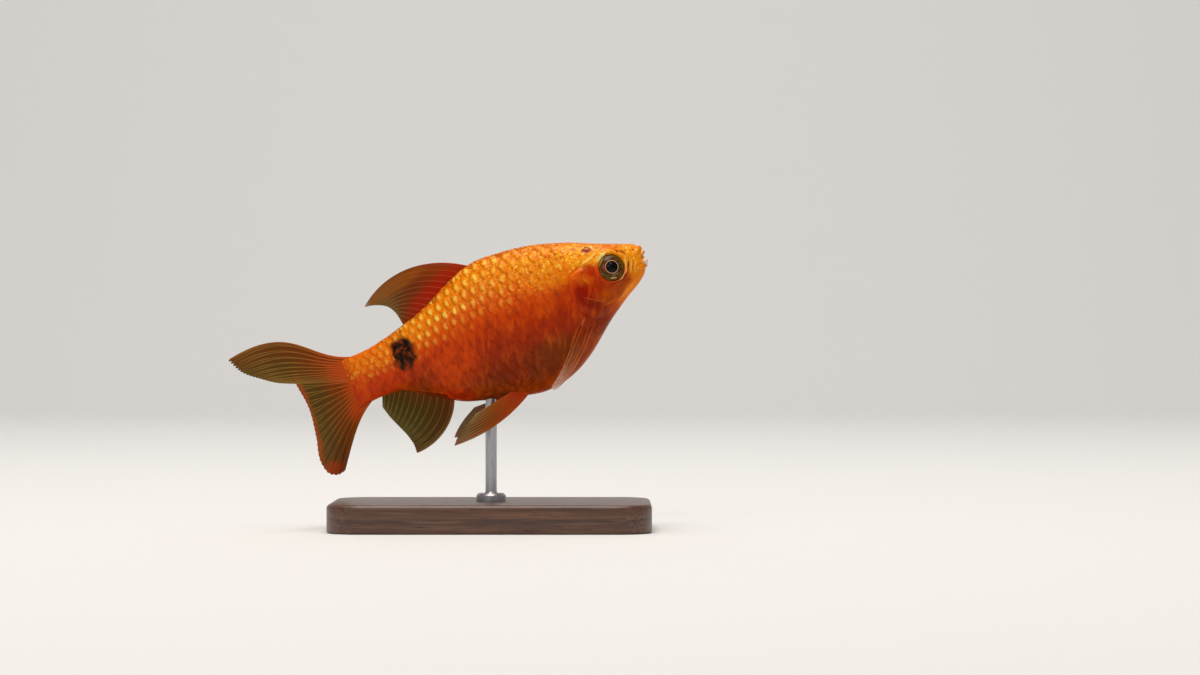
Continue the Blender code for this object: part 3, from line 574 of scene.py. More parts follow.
def headSkinMaterial():
    # Living fish skin without scales: wet, smooth and finely uneven, so it shines in soft patches
    material, tree, shader = newMaterial("wetFishSkin")
    marks = addMarkings(tree)
    place = fishPlaces(tree)
    pores = addNode(tree, "ShaderNodeTexVoronoi", {"Vector": place, "Scale": 2.6})  # 0.4 mm cells
    folds = addNode(tree, "ShaderNodeTexNoise", {"Vector": place, "Scale": 0.9, "Detail": 5.0})
    height = addNode(tree, "ShaderNodeMath", {0: pores.outputs["Distance"], 1: 0.35, 2: folds},
                     operation="MULTIPLY_ADD")
    bump = addNode(tree, "ShaderNodeBump", {"Height": height, "Strength": 0.5, "Distance": 0.12 * mm})
    shine = addNode(tree, "ShaderNodeMapRange", {0: folds, 1: 0.3, 2: 0.7, 3: 0.26, 4: 0.42})
    wireShader(tree, shader, Base_Color=marks.outputs["Colour"], Roughness=shine, Normal=bump, IOR=1.4,
               Specular_IOR_Level=0.09, Coat_Weight=0.06, Coat_Roughness=0.08)
    return material


# Skin: one closed surface under the scales, with the head's relief, lips, rims and openings

skinForm = {
    "coatDepth": 0.1,  # how far it lies inside the solids where scales cover it
    "coatFromX": 44.5,
    "coatFullX": 41.0,
    "columns": 300,
    "trunkStep": 0.5,
    "headStep": 0.16,
    "headFromX": 38.0,
    "voxel": 0.125,
    "smoothing": 3,
    "mostTriangles": 185000,
}

gillPlate = {
    "outline": ((45.1, 2.5), (43.2, 3.1), (41.4, 2.0), (40.7, -0.6), (41.1, -3.4), (42.7, -5.5),
                (45.2, -6.1), (47.3, -4.9), (46.8, -2.6), (45.5, -0.6)),
    "steps": 8,
    "rise": 0.27,
    "edge": 0.28,  # width over which the rim falls
    "creviceDepth": 0.22,
    "creviceWidth": 0.75,
    "ridgeHeight": 0.03, "ridgeSpacing": 1.5,
    # the crease between cheek and cover
    "creaseAt": (47.6, -3.0), "creaseDepth": 0.12, "creaseWidth": 0.35,
}

# the bone over the eye and the soft cheek under it: centre, sizes and height
faceBulges = (((49.5, 4.6), (2.6, 0.7), 0.18), ((49.6, -2.7), (2.4, 0.9), 0.12))

eyeForm = {
    "x": 49.2, "z": 1.31, "radius": 2.47, "halfDepth": 1.5, "bulge": 0.75,
    "forwardDeg": 12.0, "upDeg": 5.0,
    "lensRadius": 1.2, "lensDepth": 1.05, "lensRise": 0.16,
    "orbitRadius": 2.75, "orbitRim": 0.34, "orbitSink": 0.15,
    "socketGap": 0.05,
}

mouthForm = {
    "cornerX": 53.2, "halfWidth": 1.7,
    # front (x, z) of each roll, height of its corners and its radius: snout, lips and chin
    "rolls": (((54.9, 2.55), 1.5, 0.62), ((55.25, 1.75), 0.7, 0.48), ((55.3, 0.2), 0.2, 0.46),
              ((54.85, -0.45), -0.5, 0.5)),
    "lipPoints": 41, "lipSides": 20,
    "slitCentre": (54.6, 0.95), "slitHalfLength": 1.9, "slitHalfHeight": 0.1, "slitSlopeDeg": 24.0,
}

nostrils = {
    "places": ((52.0, 3.2, 0.40), (51.0, 3.55, 0.34)),  # x, z and radius: the front one, the rear one
    "rim": 0.14, "forwardDeg": 22.0, "upDeg": 38.0, "pitRadius": 0.8, "pitDepth": 1.3,
}


def outlineDistance(x, z):
    # Distance from the gill cover's outline in the side view, positive inside it
    count = len(gillPlate["outline"])
    wrapped = [(i, gillPlate["outline"][i % count]) for i in range(-2, count + 3)]
    line = smoothLine(wrapped)
    ring = line(np.arange(0, count, 1 / gillPlate["steps"]))
    a, b = ring, np.roll(ring, -1, axis=0)
    p = np.stack([x, z], -1)[:, None, :]
    ab = b - a
    t = np.clip(((p - a) * ab).sum(-1) / (ab * ab).sum(-1), 0, 1)
    distance = np.linalg.norm(p - (a + ab * t[..., None]), axis=-1).min(1)
    crosses = ((a[:, 1] > p[..., 1]) != (b[:, 1] > p[..., 1])) & (
        p[..., 0] < ab[:, 0] * (p[..., 1] - a[:, 1]) / (ab[:, 1] + 1e-12) + a[:, 0])
    inside = crosses.sum(1) % 2 == 1
    return np.where(inside, distance, -distance)


def headRelief(x, z):
    # How far the head's surface stands out or sinks, in mm, by its place in the side view
    near = (x > 36) & (x < 50)
    rise = np.zeros_like(x)
    inside = np.full_like(x, -9.0)
    inside[near] = outlineDistance(x[near], z[near])
    rearward = smoothStep(46.5, 43.0, x)  # the plate's front edge is only a soft step
    rim = smoothStep(-0.05, gillPlate["edge"] + 1.2 * (1 - rearward), inside)
    rise += gillPlate["rise"] * rim
    crevice = np.exp(-((inside + 0.3) / (gillPlate["creviceWidth"] / 2)) ** 2)
    rise -= gillPlate["creviceDepth"] * crevice * (0.25 + 0.75 * rearward)
    # low ridges that run down the cover, and the crease before it
    ridges = np.sin((x * 0.83 + z * 0.56) * 2 * math.pi / gillPlate["ridgeSpacing"])
    rise += gillPlate["ridgeHeight"] * ridges * smoothStep(0.3, 1.5, inside)
    along, up = x - gillPlate["creaseAt"][0], z - gillPlate["creaseAt"][1]
    crease = np.abs(along + 0.22 * up - 0.06 * up**2)
    crease = np.exp(-((crease / gillPlate["creaseWidth"]) ** 2))
    rise -= gillPlate["creaseDepth"] * crease * smoothStep(1.0, -0.5, z) * smoothStep(-7, -5.5, z)
    for (atX, atZ), (sizeX, sizeZ), height in faceBulges:
        rise += height * np.exp(-(((x - atX) / sizeX) ** 2 + ((z - atZ) / sizeZ) ** 2))
    return rise


def tubeMesh(name, path, radii, sides):
    path = np.array(path, float)
    tangents = np.gradient(path, axis=0)
    tangents /= np.linalg.norm(tangents, axis=1, keepdims=True)
    up = np.cross(tangents, (0.0, 0.0, 1.0))
    up /= np.linalg.norm(up, axis=1, keepdims=True)
    across = np.cross(tangents, up)
    turns = 2 * math.pi * np.arange(sides) / sides
    rings = (path[:, None] + np.array(radii)[:, None, None]
             * (up[:, None] * np.cos(turns)[:, None] + across[:, None] * np.sin(turns)[:, None]))
    count = len(path)
    faces = gridFaces(count, sides, closed=True)
    faces += [tuple(range(sides)), tuple(reversed(range((count - 1) * sides, count * sides)))]
    return facingOut(meshObject(name, rings.reshape(-1, 3), faces))


def standingOn(place, direction):
    turn = Vector((0, 0, 1)).rotation_difference(Vector(direction))
    return Matrix.Translation(Vector(place)) @ turn.to_matrix().to_4x4()


def spheroid(name, place, direction, radius, halfDepth, segments=48, rings=24):
    shape = bmesh.new()
    bmesh.ops.create_uvsphere(shape, u_segments=segments, v_segments=rings, radius=1.0)
    size = Matrix.Diagonal((radius, radius, halfDepth, 1.0))
    bmesh.ops.transform(shape, matrix=standingOn(place, direction) @ size, verts=shape.verts)
    mesh = bpy.data.meshes.new(name)
    shape.to_mesh(mesh)
    shape.free()
    return newObject(name, mesh)


def torus(name, place, direction, radius, thickness, segments=72, sides=14):
    turns = 2 * math.pi * np.arange(segments) / segments
    tilt = 2 * math.pi * np.arange(sides) / sides
    reach = radius + thickness * np.cos(tilt)[None, :]
    points = np.stack([reach * np.cos(turns)[:, None], reach * np.sin(turns)[:, None],
                       thickness * np.sin(tilt)[None, :] + 0 * turns[:, None]], -1).reshape(-1, 3)
    faces = gridFaces(segments, sides, closed=True)
    faces += [((segments - 1) * sides + j, (segments - 1) * sides + (j + 1) % sides, (j + 1) % sides, j)
              for j in range(sides)]
    obj = meshObject(name, points, faces)
    obj.data.transform(standingOn(place, direction))
    return facingOut(obj)


def eyeCentre(side):
    x, z = eyeForm["x"], eyeForm["z"]
    skin = Vector((x, side * float(flank(x, z)), z))
    facing = outward(side, eyeForm["forwardDeg"], eyeForm["upDeg"])
    return skin + facing * (eyeForm["bulge"] - eyeForm["halfDepth"])


def lipPath(front, cornerZ, radius):
    angles = math.pi * (np.arange(mouthForm["lipPoints"]) / (mouthForm["lipPoints"] - 1) - 0.5)
    share = np.maximum(np.cos(angles), 0) ** 0.8
    path = np.stack([
        mouthForm["cornerX"] + (front[0] - mouthForm["cornerX"]) * share,
        mouthForm["halfWidth"] * np.sin(angles),
        cornerZ + (front[1] - cornerZ) * share], -1)
    return path, radius * (0.55 + 0.45 * np.cos(angles))


def combine(obj, operation, tools):
    # One Boolean of obj with each tool, which is then dropped
    for tool in tools:
        modifier = obj.modifiers.new(operation.lower(), "BOOLEAN")
        modifier.operation = operation
        modifier.solver = "MANIFOLD"
        modifier.object = tool
    applyModifiers(obj)
    for tool in tools:
        bpy.data.objects.remove(tool)


def skinCore():
    trunk = np.arange(body["tailEndX"], skinForm["headFromX"], skinForm["trunkStep"])
    headEnd = body["snoutX"] - body["noseRounding"]
    headPart = np.arange(skinForm["headFromX"], headEnd, skinForm["headStep"])
    nose = headEnd + body["noseRounding"] * np.sin(np.radians(np.arange(0, 85, 7)))
    x = np.concatenate([trunk, headPart, nose])[:, None]
    turns = (2 * math.pi * np.arange(skinForm["columns"]) / skinForm["columns"])[None, :]
    coat = skinForm["coatDepth"] * smoothStep(skinForm["coatFromX"], skinForm["coatFullX"], x)
    points = bodyPoints(x, turns, -coat)
    normals = gridNormals(points)
    flat = points.reshape(-1, 3)
    rise = headRelief(flat[:, 0], flat[:, 2]) * np.abs(normals.reshape(-1, 3)[:, 1]) ** 0.5
    flat = flat + normals.reshape(-1, 3) * rise[:, None]
    rows, columns = len(x), skinForm["columns"]
    faces = gridFaces(rows, columns, closed=True)
    faces += [tuple(range(columns)), tuple(range((rows - 1) * columns, rows * columns))]
    return facingOut(meshObject("skin", flat, faces))


def makeSkin(material):
    skin = skinCore()
    added = []
    for roll in mouthForm["rolls"]:
        added.append(tubeMesh("lip", *lipPath(*roll), mouthForm["lipSides"]))
    taken = []
    for side in (-1, 1):
        facing = outward(side, eyeForm["forwardDeg"], eyeForm["upDeg"])
        rim = eyeCentre(side) + facing * (eyeForm["halfDepth"] - eyeForm["bulge"] - eyeForm["orbitSink"])
        added.append(torus("orbitRim", rim, facing, eyeForm["orbitRadius"], eyeForm["orbitRim"]))
        taken.append(spheroid("socket", eyeCentre(side), facing, eyeForm["radius"] + eyeForm["socketGap"],
                              eyeForm["halfDepth"] + eyeForm["socketGap"]))
        for x, z, radius in nostrils["places"]:
            facing = outward(side, nostrils["forwardDeg"], nostrils["upDeg"])
            place = Vector((x, side * float(flank(x, z)), z))
            added.append(torus("nostrilRim", place, facing, radius, nostrils["rim"], 24, 10))
            taken.append(spheroid("nostrilPit", place, facing, radius * nostrils["pitRadius"],
                                  radius * nostrils["pitDepth"], 16, 10))
    slope = math.radians(mouthForm["slitSlopeDeg"])
    slit = spheroid("slit", (0, 0, 0), (0, 0, 1), mouthForm["slitHalfLength"], mouthForm["slitHalfHeight"])
    place = Vector((mouthForm["slitCentre"][0], 0, mouthForm["slitCentre"][1]))
    slit.data.transform(Matrix.Translation(place) @ Matrix.Rotation(-slope, 4, "Y"))
    taken.append(slit)
    combine(skin, "UNION", added)
    combine(skin, "DIFFERENCE", taken)

    remesh = skin.modifiers.new("even", "REMESH")
    remesh.mode = "VOXEL"
    remesh.voxel_size = skinForm["voxel"]
    soften = skin.modifiers.new("soften", "SMOOTH")
    soften.factor = 0.5
    soften.iterations = skinForm["smoothing"]
    applyModifiers(skin)

    # Thin out the faces of the trunk, which the scales cover
    points = vertexArray(skin)
    group = skin.vertex_groups.new(name="trunk")
    covered = np.nonzero(points[:, 0] < skinForm["headFromX"])[0]
    group.add(covered.tolist(), 1.0, "REPLACE")
    thin = skin.modifiers.new("thin", "DECIMATE")
    thin.ratio = min(1.0, skinForm["mostTriangles"] / triangleCount(skin))
    thin.vertex_group = "trunk"
    applyModifiers(skin)
    skin.vertex_groups.clear()
    setInPose(skin)
    finishPiece(skin, [material],
                ["head", "trunk", "tail_stalk", "gill_cover_left", "gill_cover_right"])
    print("scene: skin,", triangleCount(skin), "triangles")


makeSkin(headSkinMaterial())


# Scales: rows of thin overlapping plates. A flat layout, with x along the body and y the way
# round it from the widest line, is laid on the skin by a girth map.

scaleForm = {
    "columnFrom": 41.5, "pitch": 1.95, "pitchLoss": 0.0108,  # columns run back from behind the gills
    "firstColumn": -2, "lastColumn": 26, "lastRootX": 1.5,
    "rowPitch": ((-2, 1.15), (5, 1.35), (12, 1.6), (20, 1.9), (28, 2.1), (36, 2.05), (45, 1.9)),
    "rowsUp": 9, "rowsDown": 9,
    "pastEdge": 0.45,  # how far past the back and belly lines a side's scales go, in row pitches
    "front": 0.95, "rear": 1.08,  # reach of a scale before and behind its middle, in column pitches
    "halfWide": 1.02,  # in row pitches
    "frontRound": 0.25, "rearRound": 0.9, "rootWide": 0.86,
    "across": 8, "along": 5,
    "tilt": 0.036,  # rise over run towards the free edge
    "runPerPitch": 1.9,  # in mm
    "crown": 0.03, "curl": 0.015, "thickness": 0.02,
    "uvPatch": 0.003,
    "seed": 7,
    "shifted": 0.1, "grown": (0.95, 1.05), "raised": (0.85, 1.2),  # how scales differ by chance
}

girthMap = {
    "fromX": -3.0, "toX": 47.0, "step": 0.4,
    "turns": 181, "overlapDeg": 32.0,
    "spanX": 60.0, "offsetX": 6.0, "spanY": 60.0,  # of the flat layout, so that it fills 0 to 1
}


def girthTurns():
    over = girthMap["overlapDeg"]
    return np.radians(np.linspace(-over, 180 + over, girthMap["turns"]))


def girthRing(x, side, grow):
    # Points round one side of the body at x, from past the back to past the belly, and their
    # heights in the flat layout
    turns = girthTurns()
    points = bodyPoints(np.array([x]), side * turns, grow)
    steps = np.linalg.norm(np.diff(points, axis=0), axis=1)
    arc = np.concatenate([[0], np.cumsum(steps)])
    middle = np.interp(math.pi / 2, turns, arc)
    return points, middle - arc


def layoutUV(x, y):
    return (x + girthMap["offsetX"]) / girthMap["spanX"], 0.5 + y / girthMap["spanY"]


def girthBed(side):
    # The skin of one side as a mesh whose UV map is the flat layout
    places = np.arange(girthMap["fromX"], girthMap["toX"], girthMap["step"])
    rings = [girthRing(x, side, -skinForm["coatDepth"]) for x in places]
    points = np.array([r[0] for r in rings])
    heights = np.array([r[1] for r in rings])
    normals = gridNormals(points)
    bed = meshObject(f"girthBed{side}", points.reshape(-1, 3), gridFaces(len(places), girthMap["turns"]))
    addAttribute(bed, "outward", "FLOAT_VECTOR", normals)
    # scales lie flatter in the red, on the belly and at both ends
    x, z = points[..., 0], points[..., 2]
    edge = smoothLine(markings["goldFrom"])(x)
    low = smoothStep(0.7, 0.0, (edge - z) / (edge - belly(x)))
    ends = smoothStep(0.0, 7.0, x) * (1 - 0.8 * smoothStep(22.0, 36.0, x))
    addAttribute(bed, "relief", "FLOAT", (0.25 + 0.75 * low) * (0.15 + 0.85 * ends))
    layer = bed.data.uv_layers.new(name="girth")
    u, v = layoutUV(np.repeat(places, girthMap["turns"]), heights.ravel())
    corners = np.empty(len(bed.data.loops), int)
    bed.data.loops.foreach_get("vertex_index", corners)
    layer.data.foreach_set("uv", np.stack([u[corners], v[corners]], -1).ravel())
    bed.hide_render = True
    return bed


def scaleTemplate():
    # One scale, its sizes in column and row pitches and its height in mm; closed and thin
    across, along = scaleForm["across"], scaleForm["along"]
    points, places = [], []
    for layer in (0, 1):
        for i in range(along + 1):
            a = i / along
            for j in range(across + 1):
                angle = math.radians(-90 + 180 * j / across)
                b = math.sin(angle)
                front = scaleForm["front"] * (1 - scaleForm["frontRound"] * b * b)
                rear = 0.0
                if abs(b) < 0.999:
                    rear = -scaleForm["rear"] * math.cos(angle) ** scaleForm["rearRound"]
                x = front + (rear - front) * a
                height = -x * scaleForm["tilt"] * scaleForm["runPerPitch"]
                height += scaleForm["crown"] * (1 - b * b) * math.sin(math.pi * a)
                height -= scaleForm["curl"] * a**6 + layer * scaleForm["thickness"]
                wide = scaleForm["rootWide"] + (1 - scaleForm["rootWide"]) * min(1, 2 * a)
                points.append((x, b * scaleForm["halfWide"] * wide, height))
                places.append((a, b, 0.0))
    rows, columns = along + 1, across + 1
    top = gridFaces(rows, columns)
    border = ([j for j in range(columns)] + [i * columns + across for i in range(1, rows)]
              + [along * columns + j for j in reversed(range(across))]
              + [i * columns for i in reversed(range(1, along))])
    under = rows * columns
    faces = top + [tuple(reversed([under + k for k in border]))]
    for k, point in enumerate(border):
        after = border[(k + 1) % len(border)]
        faces.append((after, point, under + point, under + after))
    # the lower layer keeps only its border
    keep = sorted(set(range(under)) | {under + k for k in border})
    index = {old: new for new, old in enumerate(keep)}
    faces = [tuple(index[k] for k in face) for face in faces]
    template = meshObject("scaleTemplate", [points[k] for k in keep], faces)
    addAttribute(template, "place", "FLOAT_VECTOR", [places[k] for k in keep])
    facingOut(template)
    template.hide_render = True
    return template


def headEdge(z):
    # How far forward the scales reach at a height: to the nape, the gill cover and the throat
    line = smoothLine(((-12, 43.0), (-7.0, 43.4), (-5.8, 43.3), (-3.4, 41.9), (-0.6, 41.4), (2.0, 42.1),
                       (3.4, 43.4), (5.0, 44.2), (8.0, 44.6)))
    return float(line(z))


def scalePoints(side):
    # Places of the scales in the flat layout, with their sizes
    pitchAt = smoothLine(scaleForm["rowPitch"])
    chance = np.random.default_rng(scaleForm["seed"])
    points, sizes = [], []
    for column in np.arange(scaleForm["firstColumn"], scaleForm["lastColumn"], 0.5):
        offset = column % 1 > 0.25  # every other row starts half a pitch later
        x = scaleForm["columnFrom"] - (scaleForm["pitch"] * column - scaleForm["pitchLoss"] * column**2)
        length = scaleForm["pitch"] - 2 * scaleForm["pitchLoss"] * column
        ring, heights = girthRing(x, side, 0.0)
        rows = float(pitchAt(x))
        topArc, lowArc = np.interp((0.0, math.pi), girthTurns(), heights)
        past = scaleForm["pastEdge"] * rows
        for row in range(-scaleForm["rowsDown"], scaleForm["rowsUp"] + 1):
            if (row % 2 == 1) != offset:
                continue
            y = row * rows
            if y > topArc + past or y < lowArc - past:
                continue
            z = float(np.interp(-y, -heights, ring[:, 2]))
            if x > headEdge(z) or x < scaleForm["lastRootX"]:
                continue
            moved = [at + chance.uniform(-scaleForm["shifted"], scaleForm["shifted"]) for at in (x, y)]
            points.append((*moved, 0.0))
            grown = chance.uniform(*scaleForm["grown"])
            sizes.append((length * grown, rows * grown, chance.uniform(*scaleForm["raised"])))
    return points, sizes


def scaleTree():
    # Puts a scale on every point of the flat layout, then lays them all on the skin
    tree, inputs = newGeometryTree("layScales", (
        ("Scale", "Object"), ("Skin", "Object"), ("Surface", "Material"), ("Relief", "Float"),
        ("UV patch", "Float"), ("Seed", "Int")))
    template = addNode(tree, "GeometryNodeObjectInfo", {0: inputs["Scale"]}).outputs["Geometry"]
    bed = addNode(tree, "GeometryNodeObjectInfo", {0: inputs["Skin"]}).outputs["Geometry"]
    size, girth, outwardAt, root, local, reliefAt = (
        addNode(tree, "GeometryNodeInputNamedAttribute", {0: name}, data_type=kind) for name, kind in (
            ("size", "FLOAT_VECTOR"), ("girth", "FLOAT_VECTOR"), ("outward", "FLOAT_VECTOR"),
            ("root", "FLOAT_VECTOR"), ("place", "FLOAT_VECTOR"), ("relief", "FLOAT")))
    kept = addNode(tree, "GeometryNodeInstanceOnPoints", {
        "Points": inputs["Geometry"], "Instance": template, "Scale": size})
    chance = addNode(tree, "FunctionNodeRandomValue", {"Seed": inputs["Seed"]}, data_type="FLOAT")
    place = addNode(tree, "GeometryNodeInputPosition")
    for name, value, kind in (("chance", chance, "FLOAT"), ("root", place, "FLOAT_VECTOR")):
        kept = addNode(tree, "GeometryNodeStoreNamedAttribute", {
            "Geometry": kept, "Name": name, "Value": value}, data_type=kind, domain="INSTANCE")
    made = addNode(tree, "GeometryNodeRealizeInstances", {0: kept})

    layout = (1 / girthMap["spanX"], 1 / girthMap["spanY"], 0.0)
    shift = (girthMap["offsetX"] / girthMap["spanX"], 0.5, 0.0)
    flat, rootFlat = (
        addNode(tree, "ShaderNodeVectorMath", {0: at, 1: layout, 2: shift}, operation="MULTIPLY_ADD")
        for at in (place, root))
    onSkin, away, relief = (
        addNode(tree, "GeometryNodeSampleUVSurface", {0: bed, 1: value, 2: girth, 3: flat}, data_type=kind)
        for value, kind in ((place, "FLOAT_VECTOR"), (outwardAt, "FLOAT_VECTOR"), (reliefAt, "FLOAT")))
    height = addNode(tree, "ShaderNodeSeparateXYZ", {0: place}).outputs[2]
    scaled = addNode(tree, "ShaderNodeMath", {0: relief, 1: inputs["Relief"]}, operation="MULTIPLY")
    rise = addNode(tree, "ShaderNodeMath", {0: height, 1: scaled}, operation="MULTIPLY")
    out = addNode(tree, "ShaderNodeVectorMath", {0: away, "Scale": rise}, operation="SCALE")
    target = addNode(tree, "ShaderNodeVectorMath", {0: onSkin, 1: out}, operation="ADD")

    # The patch of each scale on the unwrap of the skin, at its root
    patch = addNode(tree, "ShaderNodeVectorMath", {0: local, "Scale": inputs["UV patch"]},
                    operation="SCALE")
    bakeUV = addNode(tree, "ShaderNodeVectorMath", {0: rootFlat, 1: patch}, operation="ADD")
    made = addNode(tree, "GeometryNodeStoreNamedAttribute", {
        "Geometry": made, "Name": "OFBake", "Value": bakeUV}, data_type="FLOAT2", domain="CORNER")
    moved = addNode(tree, "GeometryNodeSetPosition", {"Geometry": made, "Position": target})
    return endGeometryTree(tree, moved, inputs["Surface"])


scaleLook = {
    "marginAndShade": "#c87030",  # what the rim of a scale is multiplied by: its darker margin, and painted shade under its free edge
    # colour of the painted glint on each scale
    "spot": "#ffd858",
    "spotPlace": (0.79, 0.0),  # along and across the scale
    "spotSize": (0.09, 0.27),
    "deepGold": "#d86404",  # what some scales tend to
}


def scaleMaterial():
    # Fish scale: clear bony plates with guanine mirrors below, a bright gold painted glint of those
    # mirrors on each, a wet gloss over all, and rims darkened by their own margin and by painted shade
    # under the free edge
    material, tree, shader = newMaterial("wetGoldScale")
    marks = addMarkings(tree)
    place, along = readAttribute(tree, "place")[:2]
    chance = addNode(tree, "ShaderNodeAttribute", attribute_name="chance").outputs["Fac"]
    gold = marks.outputs["Gold"]
    # rim: the scale's darker margin, partly painted shade below its free edge
    rim = addNode(tree, "ShaderNodeMapRange", {0: along, 1: 0.93, 2: 1.0},
                  interpolation_type="SMOOTHSTEP")
    rimStrength = addNode(tree, "ShaderNodeMapRange", {0: gold, 3: 0.1, 4: 0.25})
    rim = addNode(tree, "ShaderNodeMath", {0: rim, 1: rimStrength}, operation="MULTIPLY")
    colour = mixColours(tree, rim, marks.outputs["Colour"], linearColour(scaleLook["marginAndShade"]),
                        blend_type="MULTIPLY")
    # no two scales are quite the same gold
    tone = addNode(tree, "ShaderNodeMapRange", {0: chance, 3: 0.3, 4: 0.0})
    tone = addNode(tree, "ShaderNodeMath", {0: tone, 1: gold}, operation="MULTIPLY")
    colour = mixColours(tree, tone, colour, linearColour(scaleLook["deepGold"]))
    # the painted glint of each scale's guanine mirror, with ragged edges that differ from one to the next
    moved = addNode(tree, "ShaderNodeCombineXYZ", {2: chance})
    moved = addNode(tree, "ShaderNodeVectorMath", {0: moved, 1: (1, 1, 30), 2: place},
                    operation="MULTIPLY_ADD")
    rough = wandering(tree, moved, 3.5, 0.12)
    ragged = addNode(tree, "ShaderNodeVectorMath", {0: rough, 1: (1, 1, 0)}, operation="MULTIPLY")
    spot = addNode(tree, "ShaderNodeMapping", {
        0: ragged, 1: (*scaleLook["spotPlace"], 0), 3: (*scaleLook["spotSize"], 1)},
        vector_type="TEXTURE")
    reach = addNode(tree, "ShaderNodeVectorMath", {0: spot}, operation="LENGTH").outputs["Value"]
    inGlint = addNode(tree, "ShaderNodeMapRange", {0: reach, 1: 1.5, 2: 0.6},
                     interpolation_type="SMOOTHSTEP")
    strength = addNode(tree, "ShaderNodeMapRange", {0: chance, 3: 0.35, 4: 1.0})
    goldGlint = addNode(tree, "ShaderNodeMath", {0: inGlint, 1: gold}, operation="MULTIPLY")
    goldGlint = addNode(tree, "ShaderNodeMath", {0: goldGlint, 1: strength}, operation="MULTIPLY")
    colour = mixColours(tree, goldGlint, colour, linearColour(scaleLook["spot"]))
    # fine rings of growth on the plate, drawn coarser than they are
    rings = addNode(tree, "ShaderNodeTexWave", {
        "Vector": place, "Scale": 6.0, "Distortion": 1.5}, wave_type="RINGS", rings_direction="Z")
    bump = addNode(tree, "ShaderNodeBump", {"Height": rings.outputs["Fac"], "Strength": 0.12,
                                            "Distance": 0.05 * mm})
    metal = addNode(tree, "ShaderNodeMapRange", {0: goldGlint, 4: 0.25})
    wireShader(tree, shader, Base_Color=colour, Metallic=metal, Roughness=0.36, Normal=bump, IOR=1.45,
               Specular_IOR_Level=0.08, Coat_Weight=0.05, Coat_Roughness=0.1)
    return material


def makeScales(side, template, material, tree):
    word = "left" if side > 0 else "right"
    bed = girthBed(side)
    points, sizes = scalePoints(side)
    obj = meshObject(f"scales_{word}", points, [])
    addAttribute(obj, "size", "FLOAT_VECTOR", sizes)
    runTree(obj, tree, Scale=template, Skin=bed, Surface=material, Relief=1.0,
            UV_patch=scaleForm["uvPatch"], Seed=scaleForm["seed"] + side)
    bpy.data.objects.remove(bed)
    setInPose(obj)
    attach(obj, "root")
    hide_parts("trunk", "tail_stalk")
    print("scene:", obj.name, len(points), "scales,", triangleCount(obj), "triangles")


scaleShape = scaleTemplate()
scaleSurface = scaleMaterial()
layScales = scaleTree()
for side in (-1, 1):
    makeScales(side, scaleShape, scaleSurface, layScales)
bpy.data.objects.remove(scaleShape)


# Eyes

eyeLook = {
    "segments": 96, "rings": 44,
    # from the middle of the pupil over the pale ring to the rim of the iris
    "iris": ((0.0, "#020201"), (0.418, "#040201"), (0.436, "#b08058"), (0.462, "#d8a880"),
             (0.488, "#4c2a06"), (0.7, "#422606"), (0.84, "#584008"), (0.93, "#7c5c18"),
             (1.0, "#201002")),
    "thread": "#c98f3c",
    # pale crescents, of which the two low ones are a painted highlight of the cornea, and a red one at the
    # rear: centre, half sizes, turn, colour and strength
    "crescents": (((-0.4, -1.85), (0.6, 0.16), -15, "#d8b078", 0.7),
                  ((-1.3, 0.35), (0.26, 0.6), -15, "#a03020", 0.75),
                  ((0.1, -1.4), (0.8, 0.12), 0, "#9c8040", 0.6),
                  ((-1.2, 1.7), (1.0, 0.16), 40, "#b8862c", 0.6)),
}


def eyeMaterial():
    # A wet eye: the cornea's water-clear gloss over a dark pupil, a thin pale gold ring and a
    # brown iris with gold threads in it
    material, tree, shader = newMaterial("wetEye")
    place, across, up = readAttribute(tree, "iris")
    reach = addNode(tree, "ShaderNodeVectorMath", {0: place}, operation="LENGTH").outputs["Value"]
    share = addNode(tree, "ShaderNodeMapRange", {0: reach, 2: eyeForm["radius"]})
    colour = setRamp(addNode(tree, "ShaderNodeValToRGB", {0: share}), eyeLook["iris"])
    angle = addNode(tree, "ShaderNodeMath", {0: up, 1: across}, operation="ARCTAN2")
    polar = addNode(tree, "ShaderNodeCombineXYZ", {0: angle, 1: reach})
    threads = addNode(tree, "ShaderNodeTexNoise", {"Vector": polar, "Scale": 5.0, "Detail": 4.0,
                                                   "Distortion": 0.6})
    outer = addNode(tree, "ShaderNodeMapRange", {0: share, 1: 0.56, 2: 0.62})
    colour = paintNoise(tree, colour, threads, ((0.52, 0.7, 0.5, eyeLook["thread"]),), outer)
    # the crescents; the two low pale ones paint the cornea's highlight
    for centre, size, turn, hexCode, strength in eyeLook["crescents"]:
        flat = addNode(tree, "ShaderNodeMapping", {
            0: place, 1: (*centre, 0), 2: (0, 0, math.radians(turn)), 3: (*size, 1)},
            vector_type="TEXTURE")
        far = addNode(tree, "ShaderNodeVectorMath", {0: flat}, operation="LENGTH").outputs["Value"]
        mask = addNode(tree, "ShaderNodeMapRange", {0: far, 1: 1.3, 2: 0.5, 4: strength},
                       interpolation_type="SMOOTHSTEP")
        colour = mixColours(tree, mask, colour, linearColour(hexCode))
    wireShader(tree, shader, Base_Color=colour, Roughness=0.25, IOR=1.38, Specular_IOR_Level=0.12,
               Coat_Weight=0.16, Coat_Roughness=0.03)
    return material


